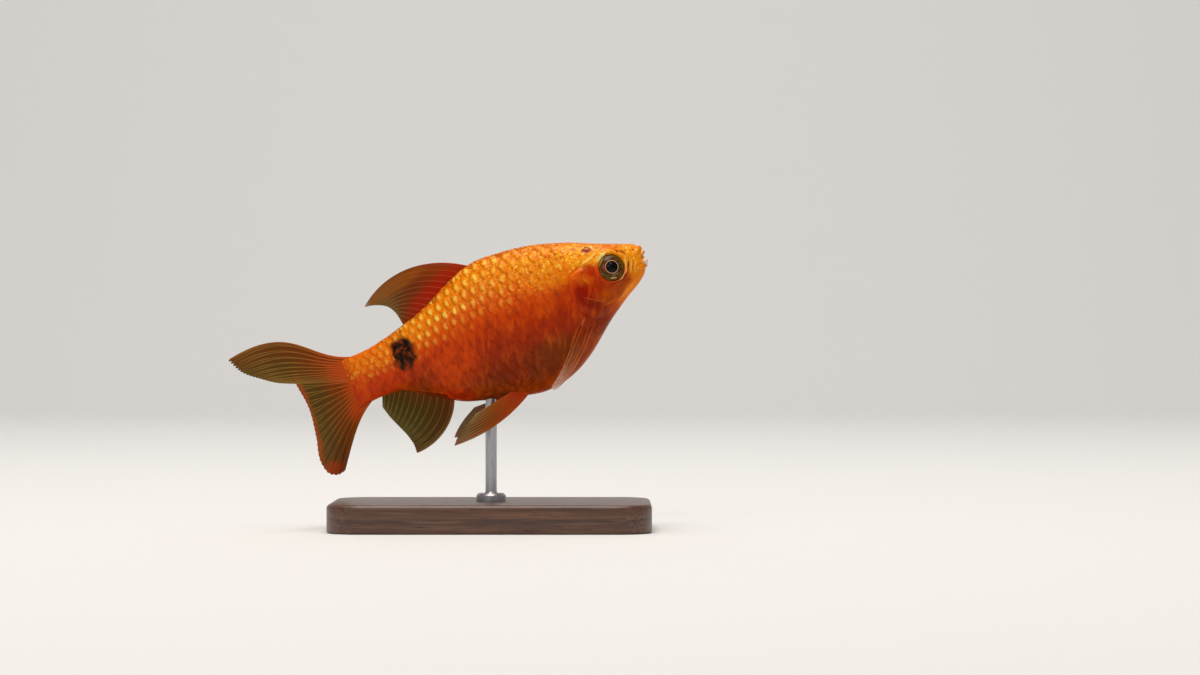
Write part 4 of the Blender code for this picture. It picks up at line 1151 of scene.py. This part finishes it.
def makeEye(side, material):
    word = "left" if side > 0 else "right"
    radius, halfDepth = eyeForm["radius"], eyeForm["halfDepth"]
    rings, segments = eyeLook["rings"], eyeLook["segments"]
    points, local = [], []
    for i in range(rings + 1):
        angle = math.pi * i / rings  # 0 at the front pole
        r = radius * math.sin(angle)
        depth = halfDepth * math.cos(angle)
        if angle < math.pi / 2 and r < eyeForm["lensRadius"]:
            sunk = halfDepth + eyeForm["lensRise"] - eyeForm["lensDepth"]
            lens = sunk + eyeForm["lensDepth"] * math.sqrt(1 - (r / eyeForm["lensRadius"]) ** 2)
            depth = max(depth, lens)
        for j in range(segments):
            turn = 2 * math.pi * j / segments
            points.append((r * math.cos(turn), r * math.sin(turn), depth))
            local.append((side * -r * math.cos(turn) if angle < math.pi / 2 else radius,
                          r * math.sin(turn), 0.0))
    faces = gridFaces(rings + 1, segments, closed=True)
    obj = meshObject(f"eyeball_{word}", points, faces)
    addAttribute(obj, "iris", "FLOAT_VECTOR", local)
    facing = outward(side, eyeForm["forwardDeg"], eyeForm["upDeg"])
    up = (Vector((0, 0, 1)) - facing * facing.z).normalized()
    wide = up.cross(facing)
    turned = Matrix((wide, up, facing)).transposed().to_4x4()
    obj.data.transform(Matrix.Translation(eyeCentre(side)) @ turned)
    facingOut(obj, 0.0005)
    setInPose(obj)
    finishPiece(obj, [material], [f"eye_{word}"])


wetEye = eyeMaterial()
for side in (-1, 1):
    makeEye(side, wetEye)
print("scene: eyes")


# Fins: a thin membrane for each, and its rays as fine branching rods in it

finForm = {
    "rootSink": 1.2,
    "membrane": 0.1, "edge": 0.05,  # thickness at the root and at the tips
    "columnsPerRay": 8, "rows": 44,
    "splitAt": (0.45, 0.74),  # shares of a ray's length where it branches
    "splitWidth": (0.25, 0.115),  # how far the branches part, as shares of a ray's room
    "rayRadius": (0.125, 0.1, 0.07, 0.035),  # at the root, the two splits and the tip
    "rayPoints": (16, 12, 10),  # before, between and after the splits
    "rayEnd": 0.992,  # as a share of the fin's length
    "edgeRayPoints": 36, "edgeRayEnd": 0.99,
    "edgeRaysAt": (0.004, 0.998),  # the stout front ray and the last one
    "stoutShare": 1.35,
    "ripple": 0.015,  # how far the membrane sinks between rays
    "scallop": 0.012,  # how far the edge steps back between rays, as a share of the length
}


def inPlane(points):
    # Adds y = 0 to (share, x, z) points
    return [(at, (x, 0.0, z)) for at, x, z in points]


def alongProfile(line, fromX, toX, sink, steps=6):
    places = [fromX + (toX - fromX) * i / steps for i in range(steps + 1)]
    return [(i / steps, x, float(line(x)) + sink) for i, x in enumerate(places)]


tailNotch = (-9.8, 3.4)  # x and z of the tail fin's edge between its lobes


def upperLobeLean(across, along, place):
    above = np.maximum(0.0, place[..., 2] - tailNotch[1] * place[..., 0] / tailNotch[0])
    behind = np.maximum(0.0, place[..., 0] / pose["tailTipX"])
    return -1.2 * np.minimum(1.0, above / 4.5) * behind**1.5


def lowerLobeLean(across, along, place):
    return 8.0 * (1 - across) ** 1.4 * along**1.8


finDesigns = {
    "dorsal": dict(
        root=inPlane(alongProfile(back, 27.0, 12.0, -finForm["rootSink"])),
        tip=inPlane([(0, 6.5, 11.2), (0.2, 8.1, 10.9), (0.4, 9.6, 10.3), (0.6, 10.6, 9.5),
                     (0.8, 11.25, 8.3), (1, 11.6, 6.9)]),
        bows=[inPlane([(0, 1.4, 4.3), (0.5, 0.4, 1.6), (1, 0, 0.1)]),
              inPlane([(0, -0.3, 5.6), (0.5, -0.2, 1.6), (1, 0, 0.1)])],
        rays=12, look="dorsal"),
    "anal": dict(
        root=inPlane(alongProfile(belly, 15.3, 4.1, finForm["rootSink"])),
        tip=inPlane([(0, 5.4, -15.9), (0.12, 5.5, -14.5), (0.3, 5.1, -12.5), (0.5, 4.5, -10.9),
                     (0.75, 3.5, -8.4), (1, 2.9, -6.2)]),
        bows=[inPlane([(0, 2.0, -1.9), (0.5, 0.6, -0.6), (1, 0, 0)]),
              inPlane([(0, 1.1, -2.4), (0.5, 0.3, -0.6), (1, 0, 0)])],
        rays=12, look="anal"),
    "tailUpper": dict(
        root=inPlane([(0, 1.4, 3.9), (0.5, 0.2, 2.2), (1, 0.2, 0.0)]),
        tip=inPlane([(0, -19.4, 11.8), (0.25, -17.9, 8.8), (0.5, -15.2, 6.5), (0.75, -12.8, 4.8),
                     (1, *tailNotch)]),
        bows=[inPlane([(0, -1.0, -0.4), (0.5, 0, -0.4), (1, 0, 0)]),
              inPlane([(0, 6.6, 5.0), (0.5, 1.0, 0.9), (1, 0, 0)])],
        lean=upperLobeLean, rays=12, look="tail"),
    "tailLower": dict(
        root=inPlane([(0, 2.6, -3.8), (0.5, 0.2, -2.2), (1, 0.2, 0.0)]),
        tip=inPlane([(0, -8.2, -14.1), (0.08, -9.5, -14.3), (0.16, -10.8, -13.6), (0.28, -11.4, -11.3),
                     (0.5, -10.3, -6.6), (0.75, -9.4, -1.5), (1, *tailNotch)]),
        bows=[inPlane([(0, -1.2, 1.1), (0.5, 0, 0.2), (1, 0, 0)]),
              inPlane([(0, 0.5, 1.4), (0.5, 0, 0.2), (1, 0, 0)])],
        lean=lowerLobeLean, rays=12, look="tail"),
    "pelvic": dict(
        root=[(0, (28.0, 1.3, -13.3)), (1, (25.0, 2.3, -12.2))],
        tip=[(0, (12.2, 5.2, -17.1)), (0.3, (13.3, 5.6, -16.0)), (0.6, (15.0, 5.8, -14.8)),
             (1, (17.5, 5.4, -13.5))],
        bows=[inPlane([(0, 0, -1.9), (1, 0, -0.1)]), inPlane([(0, 0, -1.6), (1, 0, 0.1)])],
        rays=9, rayShare=0.8, leftLift=1.2, look="pelvic"),
    "pectoral": dict(
        root=[(0, (43.1, 2.0, -6.0)), (1, (42.5, 2.4, -4.2))],
        tip=[(0, (32.3, 5.3, -15.1)), (0.5, (31.7, 5.4, -14.5)), (1, (31.6, 5.5, -13.7))],
        bows=[[(0, (0.9, 3.4, -0.6)), (1, (0.0, 3.3, 1.2))],
              [(0, (1.2, 0.6, -0.6)), (1, (0.0, 0.6, -2.4))]],
        rays=2, rayShare=0.75, webShare=0.5, rounding=0.13, look="pectoral"),
}

finLooks = {
    # colours along the membrane from root to tip, its opacity there, the rays and the front edge
    "dorsal": dict(web=("#b02000", "#802c00", "#603604", "#5e4a18"),
                   ray=("#b83408", "#88400a", "#886434"),
                   front="#d0ac94", band="#944400", opacity=(0.98, 0.9),
                   spots=(("rootRed", (20.5, 9.9), (7.5, 1.7), 21, 1.0, "#b41800", 0.6),
                          ("frontGlow", (12.8, 13.0), (6.5, 1.4), 12, 1.0, "#a85a08", 0.65),
                          ("tipPale", (6.9, 11.2), (0.9, 0.5), 40, 1.0, "#b8a890", 0.6))),
    "tail": dict(web=("#cc4404", "#7e3802", "#563c02", "#584208"),
                 ray=("#c85410", "#8e5c1a", "#92702e"),
                 front="#c85c2c", band="#783404", opacity=(0.98, 0.93),
                 spots=(("rearEdge", (-9.5, -0.6), (4.4, 0.75), 87, 1.0, "#b44810", 0.75),
                        ("rearEdgeLow", (-10.5, -7.8), (4.6, 0.8), 77, 1.0, "#b44810", 0.75),
                        ("frontEdge", (-3.0, -8.1), (6.0, 0.7), 46, 1.0, "#b84c10", 0.65),
                        ("rootRed", (-2.4, 2.1), (2.0, 1.3), 20, 1.0, "#c03006", 0.6),
                        ("frontRoot", (-0.8, -4.9), (2.6, 1.6), 46, 1.0, "#cc3e04", 0.7),
                        ("lowTip", (-9.6, -13.2), (1.8, 1.5), 0, 0.9, "#c8400c", 0.8))),
    # the anal fin's own colours, darkened as painted shade for the shade under the body
    "anal": dict(web=("#742e02", "#523804", "#483c06", "#50460e"),
                 ray=("#945012", "#70601f", "#826e38"),
                 front="#c46c40", band="#5c3004", opacity=(0.98, 0.93)),
    # the pelvic fins' own colours, partly darkened as painted shade for the shade under the body
    "pelvic": dict(web=("#b43002", "#a43c04", "#804808", "#6c5424"),
                   ray=("#b83c0a", "#a45c18", "#b89868"),
                   front="#d48850", band="#b04808", opacity=(0.98, 0.8)),
    "pectoral": dict(web=("#a03004", "#a04410", "#b87444", "#ecdccc"),
                     ray=("#a03c0c", "#a85420", "#d0a48c"),
                     front="#c8783c", band="#b8602c", opacity=(0.0, 0.3), joints=0.0),
}


def finPlaces(design, across, along, side=1):
    # Points of a fin's middle surface for arrays of places across its rays and along them
    start, end = smoothLine(design["root"])(across), smoothLine(design["tip"])(across)
    first = start + (end - start) / 3 + smoothLine(design["bows"][0])(across)
    second = start + (end - start) * 2 / 3 + smoothLine(design["bows"][1])(across)
    s = np.asarray(along)[..., None]
    place = (start * (1 - s) ** 3 + first * 3 * s * (1 - s) ** 2 + second * 3 * s * s * (1 - s)
             + end * s**3)
    if "lean" in design:
        place[..., 1] += design["lean"](across, along, place)
    if side > 0:
        place[..., 2] += design.get("leftLift", 0.0) * s[..., 0] ** 1.5
    place[..., 1] *= side
    return place


def tipReach(design, across):
    # Share of the full length that each ray reaches, where the tip is rounded
    return 1 - design.get("rounding", 0.0) * (2 * across - 1) ** 4


def finSheet(name, design, side):
    # The membrane: a grid with soft hollows between the rays, thinning to its edge
    count = design["rays"] * finForm["columnsPerRay"]
    across = np.linspace(0, 1, count + 1)[:, None] * np.ones(finForm["rows"] + 1)[None, :]
    step = np.linspace(0, 1, finForm["rows"] + 1)[None, :] * np.ones(count + 1)[:, None]
    room = np.abs(np.sin(math.pi * across * design["rays"] * 2))
    along = step * (1 - finForm["scallop"] * (1 - room) * step**4) * tipReach(design, across)
    points = finPlaces(design, across, along, side)
    normals = np.cross(np.gradient(points, axis=0), np.gradient(points, axis=1))
    normals /= np.linalg.norm(normals, axis=-1, keepdims=True) + 1e-12
    wave = np.cos(2 * math.pi * across * design["rays"])
    fade = np.sin(math.pi * np.minimum(1, along * 1.2)) ** 0.5 * smoothStep(0.0, 0.3, along)
    points = points + normals * (finForm["ripple"] * wave * fade)[..., None]
    faces = gridFaces(count + 1, finForm["rows"] + 1)
    obj = meshObject(name, points.reshape(-1, 3), faces)
    addAttribute(obj, "fin", "FLOAT_VECTOR", np.stack([across, along, 0 * along], -1))
    group = obj.vertex_groups.new(name="thickness")
    share = 1 - (1 - finForm["edge"] / finForm["membrane"]) * along.ravel() ** 2
    for index, value in enumerate(share):
        group.add([index], float(value), "REPLACE")
    return obj


def rayLines(design):
    # Each stretch of a ray as (places across, places along), from root to tip
    firstSplit, secondSplit = finForm["splitAt"]
    wide, narrow = (w / design["rays"] for w in finForm["splitWidth"])
    lines = []
    for ray in range(design["rays"]):
        middle = (ray + 0.5) / design["rays"]
        s = np.linspace(0.0, firstSplit, finForm["rayPoints"][0])
        lines.append((np.full_like(s, middle), s))
        for way in (-1, 1):
            s = np.linspace(firstSplit, secondSplit, finForm["rayPoints"][1])
            lines.append((middle + way * wide * (s - firstSplit) / (1 - firstSplit), s))
            for fork in (-1, 1):
                s = np.linspace(secondSplit, finForm["rayEnd"], finForm["rayPoints"][2])
                branch = middle + way * wide * (s - firstSplit) / (1 - firstSplit)
                lines.append((branch + fork * narrow * (s - secondSplit) / (1 - secondSplit), s))
    s = np.linspace(0.0, finForm["edgeRayEnd"], finForm["edgeRayPoints"])
    for at in finForm["edgeRaysAt"]:
        lines.append((np.full_like(s, at), s))
    return lines


def rayNet(name, design, side):
    # All rays of a fin as a mesh of edges that carries their radii
    points, edges, radii, places = [], [], [], []
    stations = (0.0, *finForm["splitAt"], 1.0)
    for across, along in rayLines(design):
        start = len(points)
        points += finPlaces(design, across, along * tipReach(design, across), side).tolist()
        radius = np.interp(along, stations, finForm["rayRadius"])
        stout = np.where(across < 0.01, finForm["stoutShare"], 1.0)
        radii += (radius * stout * design.get("rayShare", 1.0)).tolist()
        places += np.stack([across, along, np.ones_like(along)], -1).tolist()
        edges += [(start + i, start + i + 1) for i in range(len(along) - 1)]
    obj = meshObject(name, points, [], edges)
    addAttribute(obj, "thick", "FLOAT", radii)
    addAttribute(obj, "fin", "FLOAT_VECTOR", places)
    return obj


def rayTree():
    # Turns a net of edges into round tapering rods
    tree, inputs = newGeometryTree("finRays", (
        ("Sides", "Int"), ("Thickness", "Float"), ("Surface", "Material")))
    lines = addNode(tree, "GeometryNodeMeshToCurve", {0: inputs["Geometry"]})
    profile = addNode(tree, "GeometryNodeCurvePrimitiveCircle", {
        "Resolution": inputs["Sides"], "Radius": inputs["Thickness"]})
    thick = addNode(tree, "GeometryNodeInputNamedAttribute", {0: "thick"}, data_type="FLOAT")
    rods = addNode(tree, "GeometryNodeCurveToMesh", {
        0: lines, 1: profile.outputs["Curve"], "Scale": thick, "Fill Caps": True})
    made = addNode(tree, "GeometryNodeRealizeInstances", {0: rods})
    return endGeometryTree(tree, made, inputs["Surface"])


def webMaterial(name):
    # Fin membrane: a clear, thin, wet web with pigment in it, so light passes and gloss stays
    look = finLooks[name]
    material, tree, shader = newMaterial(name + "FinWeb")
    across, along = readAttribute(tree, "fin")[1:]
    cloudy = addNode(tree, "ShaderNodeTexNoise", {"Vector": fishPlaces(tree), "Scale": 0.5, "Detail": 4.0})
    wander = addNode(tree, "ShaderNodeMapRange", {0: cloudy, 3: -0.22, 4: 0.22})
    step = addNode(tree, "ShaderNodeMath", {0: along, 1: wander}, operation="ADD")
    colour = setRamp(addNode(tree, "ShaderNodeValToRGB", {0: step}),
                     tuple(zip((0.0, 0.32, 0.72, 1.0), look["web"])))
    band = addNode(tree, "ShaderNodeMapRange", {0: across, 1: 0.35, 2: 0.08, 4: 0.6},
                   interpolation_type="SMOOTHSTEP")
    colour = mixColours(tree, band, colour.outputs[0], linearColour(look["band"]))
    front = addNode(tree, "ShaderNodeMapRange", {0: across, 1: 0.03, 2: 0.0, 4: 0.8},
                    interpolation_type="SMOOTHSTEP")
    colour = mixColours(tree, front, colour, linearColour(look["front"]))
    uneven = wandering(tree, fishPlaces(tree), 1.1, 0.4)
    colour = paintSpots(tree, uneven, colour, look.get("spots", ()))
    opacity = addNode(tree, "ShaderNodeMapRange", {
        0: along, 1: 0.1, 2: 0.8, 3: look["opacity"][0], 4: look["opacity"][1]})
    wireShader(tree, shader, Base_Color=colour, Roughness=0.4, IOR=1.38, Alpha=opacity,
               Specular_IOR_Level=0.08, Coat_Weight=0.05, Coat_Roughness=0.15)
    return material


def rayMaterial(name):
    # Bony fin rays: jointed rods, a little paler and glossier than the web
    look = finLooks[name]
    material, tree, shader = newMaterial(name + "FinRay")
    along = readAttribute(tree, "fin")[2]
    colour = setRamp(addNode(tree, "ShaderNodeValToRGB", {0: along}),
                     tuple(zip((0.1, 0.55, 1.0), look["ray"])))
    # joints about 0.6 mm apart on a ray of 14 mm
    joints = addNode(tree, "ShaderNodeMath", {0: along, 1: 150.0}, operation="MULTIPLY")
    joints = addNode(tree, "ShaderNodeMath", {0: joints}, operation="SINE")
    mark = addNode(tree, "ShaderNodeMapRange", {0: joints, 1: 0.6, 2: 1.0, 4: look.get("joints", 0.2)})
    colour = mixColours(tree, mark, colour, linearColour("#7a4414"))
    wireShader(tree, shader, Base_Color=colour, Roughness=0.4, IOR=1.45, Specular_IOR_Level=0.12,
               Coat_Weight=0.06, Coat_Roughness=0.15)
    return material


finMaterials = {name: (webMaterial(name), rayMaterial(name)) for name in finLooks}
finRays = rayTree()


def joinObjects(objects):
    bpy.ops.object.select_all(action="DESELECT")
    for obj in objects:
        obj.select_set(True)
    bpy.context.view_layer.objects.active = objects[0]
    bpy.ops.object.join()
    return objects[0]


def makeFin(name, parts, nodes, side=1):
    look = finDesigns[parts[0]]["look"]
    web, ray = finMaterials[look]
    sheets = [finSheet(name, finDesigns[part], side) for part in parts]
    sheet = joinObjects(sheets) if len(sheets) > 1 else sheets[0]
    facingOut(sheet, 0.01)
    thick = sheet.modifiers.new("web", "SOLIDIFY")
    thick.thickness = finForm["membrane"] * finDesigns[parts[0]].get("webShare", 1.0)
    thick.offset = 0.0
    thick.vertex_group = "thickness"
    thick.use_even_offset = False
    applyModifiers(sheet)
    sheet.vertex_groups.clear()
    sheet.data.materials.append(web)
    pieces = [sheet]
    for part in parts:
        net = rayNet(name + "Rays", finDesigns[part], side)
        pieces.append(runTree(net, finRays, Sides=8, Thickness=1.0, Surface=ray))
    fin = joinObjects(pieces)
    setInPose(fin)
    fin.data.shade_smooth()
    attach(fin, "root")
    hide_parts(*nodes)
    print("scene:", name, triangleCount(fin), "triangles")


makeFin("dorsalFin", ["dorsal"], ["dorsal_fin"])
makeFin("analFin", ["anal"], ["anal_fin"])
makeFin("tailFin", ["tailUpper", "tailLower"], ["tail_fin_upper_lobe", "tail_fin_lower_lobe"])
for word, side in (("left", 1), ("right", -1)):
    makeFin(f"pelvicFin_{word}", ["pelvic"], [f"pelvic_fin_{word}"], side)
    makeFin(f"pectoralFin_{word}", ["pectoral"], [f"pectoral_fin_{word}"], side)


# Stand

standForm = {
    "length": 56.0, "width": 32.0, "height": 5.0, "corner": 6.0, "bevel": 0.8,
    "footBevel": 0.3, "cornerSteps": 20, "bevelSteps": 6,
    "rodRadius": 1.0, "rodTopZ": 25.4, "rodFillet": 0.25, "rodGap": 0.02, "rodSegments": 48,
    "collarRadius": 2.6, "collarHeight": 1.4, "collarChamfer": 0.4,
}


walnutLook = {
    "grainShare": 0.05,  # of the grain's size along x, so that it is 20 times longer than wide
    "ringMiddle": (0, 14, 30),  # of the tree's trunk, below the block; its rings are 3 mm apart
    "rings": ((0.0, "#5c3a28"), (0.6, "#523222"), (0.92, "#3e2417"), (1.0, "#5c3a28")),
    "fibre": "#8a6044",
    "pore": "#20120a",
}


def walnutMaterial():
    # Oiled walnut: dark brown with long grain, open pores and a satin gloss
    material, tree, shader = newMaterial("oiledWalnut")
    place = addNode(tree, "ShaderNodeTexCoord").outputs["Object"]
    grain = addNode(tree, "ShaderNodeMapping", {
        0: place, 1: walnutLook["ringMiddle"], 3: (1 / mm * walnutLook["grainShare"], 1 / mm, 1 / mm)})
    rings = addNode(tree, "ShaderNodeTexWave", {
        "Vector": grain, "Scale": 0.105, "Distortion": 4.0, "Detail": 3.0, "Detail Scale": 0.6},
        wave_type="RINGS", rings_direction="X", wave_profile="SAW")
    colour = setRamp(addNode(tree, "ShaderNodeValToRGB", {0: rings.outputs["Fac"]}), walnutLook["rings"])
    fibre = addNode(tree, "ShaderNodeTexNoise", {"Vector": grain, "Scale": 2.2, "Detail": 6.0})
    fibreMask = addNode(tree, "ShaderNodeMapRange", {0: fibre, 1: 0.45, 2: 0.75, 4: 0.55})
    colour = mixColours(tree, fibreMask, colour, linearColour(walnutLook["fibre"]))
    pores = addNode(tree, "ShaderNodeTexNoise", {"Vector": grain, "Scale": 4.5, "Detail": 1.0})
    poreMask = addNode(tree, "ShaderNodeMapRange", {0: pores, 1: 0.64, 2: 0.7, 4: 0.8})
    colour = mixColours(tree, poreMask, colour, linearColour(walnutLook["pore"]))
    bump = addNode(tree, "ShaderNodeBump", {"Height": poreMask, "Strength": 0.4, "Distance": 0.08 * mm},
                   invert=True)
    shine = addNode(tree, "ShaderNodeMapRange", {0: fibre, 3: 0.32, 4: 0.5})
    wireShader(tree, shader, Base_Color=colour, Roughness=shine, Normal=bump, Coat_Weight=0.2,
               Coat_Roughness=0.25)
    return material


steelLook = {
    "stretch": 0.04,  # of the scratches' size along the rod
    "colours": ((0.3, "#a8a9ac"), (0.7, "#c6c7ca")),
}


def steelMaterial():
    # Brushed steel: grey metal whose fine lengthwise scratches blur its reflections
    material, tree, shader = newMaterial("brushedSteel")
    place = addNode(tree, "ShaderNodeTexCoord").outputs["Object"]
    stretched = addNode(tree, "ShaderNodeMapping", {
        0: place, 3: (1 / mm, 1 / mm, 1 / mm * steelLook["stretch"])})
    scratches = addNode(tree, "ShaderNodeTexNoise", {"Vector": stretched, "Scale": 9.0, "Detail": 4.0})
    colour = setRamp(addNode(tree, "ShaderNodeValToRGB", {0: scratches}), steelLook["colours"])
    shine = addNode(tree, "ShaderNodeMapRange", {0: scratches, 3: 0.2, 4: 0.42})
    bump = addNode(tree, "ShaderNodeBump", {"Height": scratches, "Strength": 0.15, "Distance": 0.02 * mm})
    wireShader(tree, shader, Base_Color=colour, Metallic=1.0, Roughness=shine, Normal=bump)
    return material


def makeBase(material):
    # A rounded block: rings of one outline, drawn in over the bevels
    outline = []
    halfX, halfY = standForm["length"] / 2, standForm["width"] / 2
    corner, steps = standForm["corner"], standForm["cornerSteps"]
    for quarter, (sx, sy) in enumerate(((1, 1), (-1, 1), (-1, -1), (1, -1))):
        for i in range(steps + 1):
            turn = math.pi / 2 * (quarter + i / steps)
            outline.append((sx * (halfX - corner), sy * (halfY - corner), math.cos(turn), math.sin(turn)))
    rings = [(standForm["footBevel"], 0.0), (0.0, standForm["footBevel"])]
    for i in range(standForm["bevelSteps"] + 1):
        turn = math.pi / 2 * i / standForm["bevelSteps"]
        rings.append((standForm["bevel"] * (1 - math.cos(turn)),
                      standForm["height"] - standForm["bevel"] * (1 - math.sin(turn))))
    points = [((x + (corner - inset) * c) * mm, (y + (corner - inset) * s) * mm, z * mm)
              for inset, z in rings for x, y, c, s in outline]
    count = len(outline)
    faces = gridFaces(len(rings), count, closed=True)
    faces += [tuple(range(count)), tuple(range((len(rings) - 1) * count, len(rings) * count))]
    base = facingOut(meshObject("standBase", points, faces), 1e-7)
    finishPiece(base, [material], ["stand_base"])
    base.data.set_sharp_from_angle(angle=math.radians(50))


def makeRod(material):
    # A turned rod with a chamfered collar on the base; its top ends inside the belly
    y0 = float(sway(pose["rodX"]))
    foot = standForm["height"] + standForm["rodGap"]
    collar = standForm["height"] + standForm["collarHeight"]
    wide, narrow = standForm["collarRadius"], standForm["rodRadius"]
    chamfer, fillet = standForm["collarChamfer"], standForm["rodFillet"]
    profile = ((0, foot), (wide, foot), (wide, collar - chamfer), (wide - chamfer, collar),
               (narrow + fillet, collar), (narrow, collar + fillet), (narrow, standForm["rodTopZ"]),
               (0, standForm["rodTopZ"]))
    segments = standForm["rodSegments"]
    points = [(r * math.cos(2 * math.pi * j / segments) * mm,
               (y0 + r * math.sin(2 * math.pi * j / segments)) * mm, z * mm)
              for r, z in profile for j in range(segments)]
    rod = facingOut(meshObject("standRod", points, gridFaces(len(profile), segments, closed=True)), 1e-7)
    finishPiece(rod, [material], ["stand_rod"])
    rod.data.set_sharp_from_angle(angle=math.radians(40))


makeBase(walnutMaterial())
makeRod(steelMaterial())
print("scene: stand")


# Camera, light and floor

view = {
    "aim": (43.1, 0.0, 7.6),  # from the fish's origin, level, in mm
    "frameWidth": 209.9,  # of the photo at the fish, in mm
    "distance": 0.6,
}

studio = {
    "floor": "#e9e7e4",
    "floorHalf": 1.6, "wallHeight": 1.8, "wallAt": 0.9, "curve": 0.5,
    "lights": (
        # name, place, aim, size, power, colour
        ("top", (-0.05, -0.2, 0.9), (0.0, 0.0, 0.03), 0.5, 5.6, "#fff8f0"),
        ("front", (-0.5, -1.1, 0.7), (0.0, 0.0, 0.03), 0.6, 2.4, "#ffffff"),
        ("wall", (0.0, 0.35, 1.3), (0.0, 1.25, 0.35), 0.9, 7.5, "#ffffff"),
    ),
    "world": "#eef0f2", "worldStrength": 0.3,
}


def makeCamera():
    camera = bpy.data.cameras.new("camera")
    camera.sensor_fit = "HORIZONTAL"
    camera.angle = 2 * math.atan(view["frameWidth"] * mm / 2 / view["distance"])
    camera.clip_start = 0.01
    obj = newObject("camera", camera)
    aim = (fishOrigin + Vector(view["aim"])) * mm
    obj.location = aim - Vector((0, view["distance"], 0))
    obj.rotation_euler = (math.pi / 2, 0, 0)
    bpy.context.scene.camera = obj


def makeStudio():
    half, height = studio["floorHalf"], studio["wallHeight"]
    bend, wall = studio["curve"], studio["wallAt"]
    turns = [math.pi / 2 * i / 24 for i in range(25)]
    profile = [(-half, 0.0)] + [(wall + bend * math.sin(t), bend * (1 - math.cos(t))) for t in turns]
    profile.append((wall + bend, height))
    points = [(x, y, z) for y, z in profile for x in (-half, half)]
    floor = meshObject("floor", points, gridFaces(len(profile), 2))
    floor.data.shade_smooth()
    material, tree, shader = newMaterial("mattePaper")  # plain pale studio paper
    wireShader(tree, shader, Base_Color=linearColour(studio["floor"]), Roughness=0.9)
    floor.data.materials.append(material)
    for name, place, aim, size, power, hexCode in studio["lights"]:
        light = bpy.data.lights.new(name, "AREA")
        light.size = size
        light.energy = power
        light.color = linearColour(hexCode)[:3]
        obj = newObject(name, light)
        obj.location = place
        obj.rotation_euler = (Vector(aim) - Vector(place)).to_track_quat("-Z", "Y").to_euler()
    world = bpy.data.worlds.new("studio")
    world.use_nodes = True
    sky = world.node_tree.nodes["Background"]
    sky.inputs["Color"].default_value = linearColour(studio["world"])
    sky.inputs["Strength"].default_value = studio["worldStrength"]
    bpy.context.scene.world = world
    bpy.context.scene.view_settings.view_transform = "Standard"


makeCamera()
makeStudio()

print("scene: done")
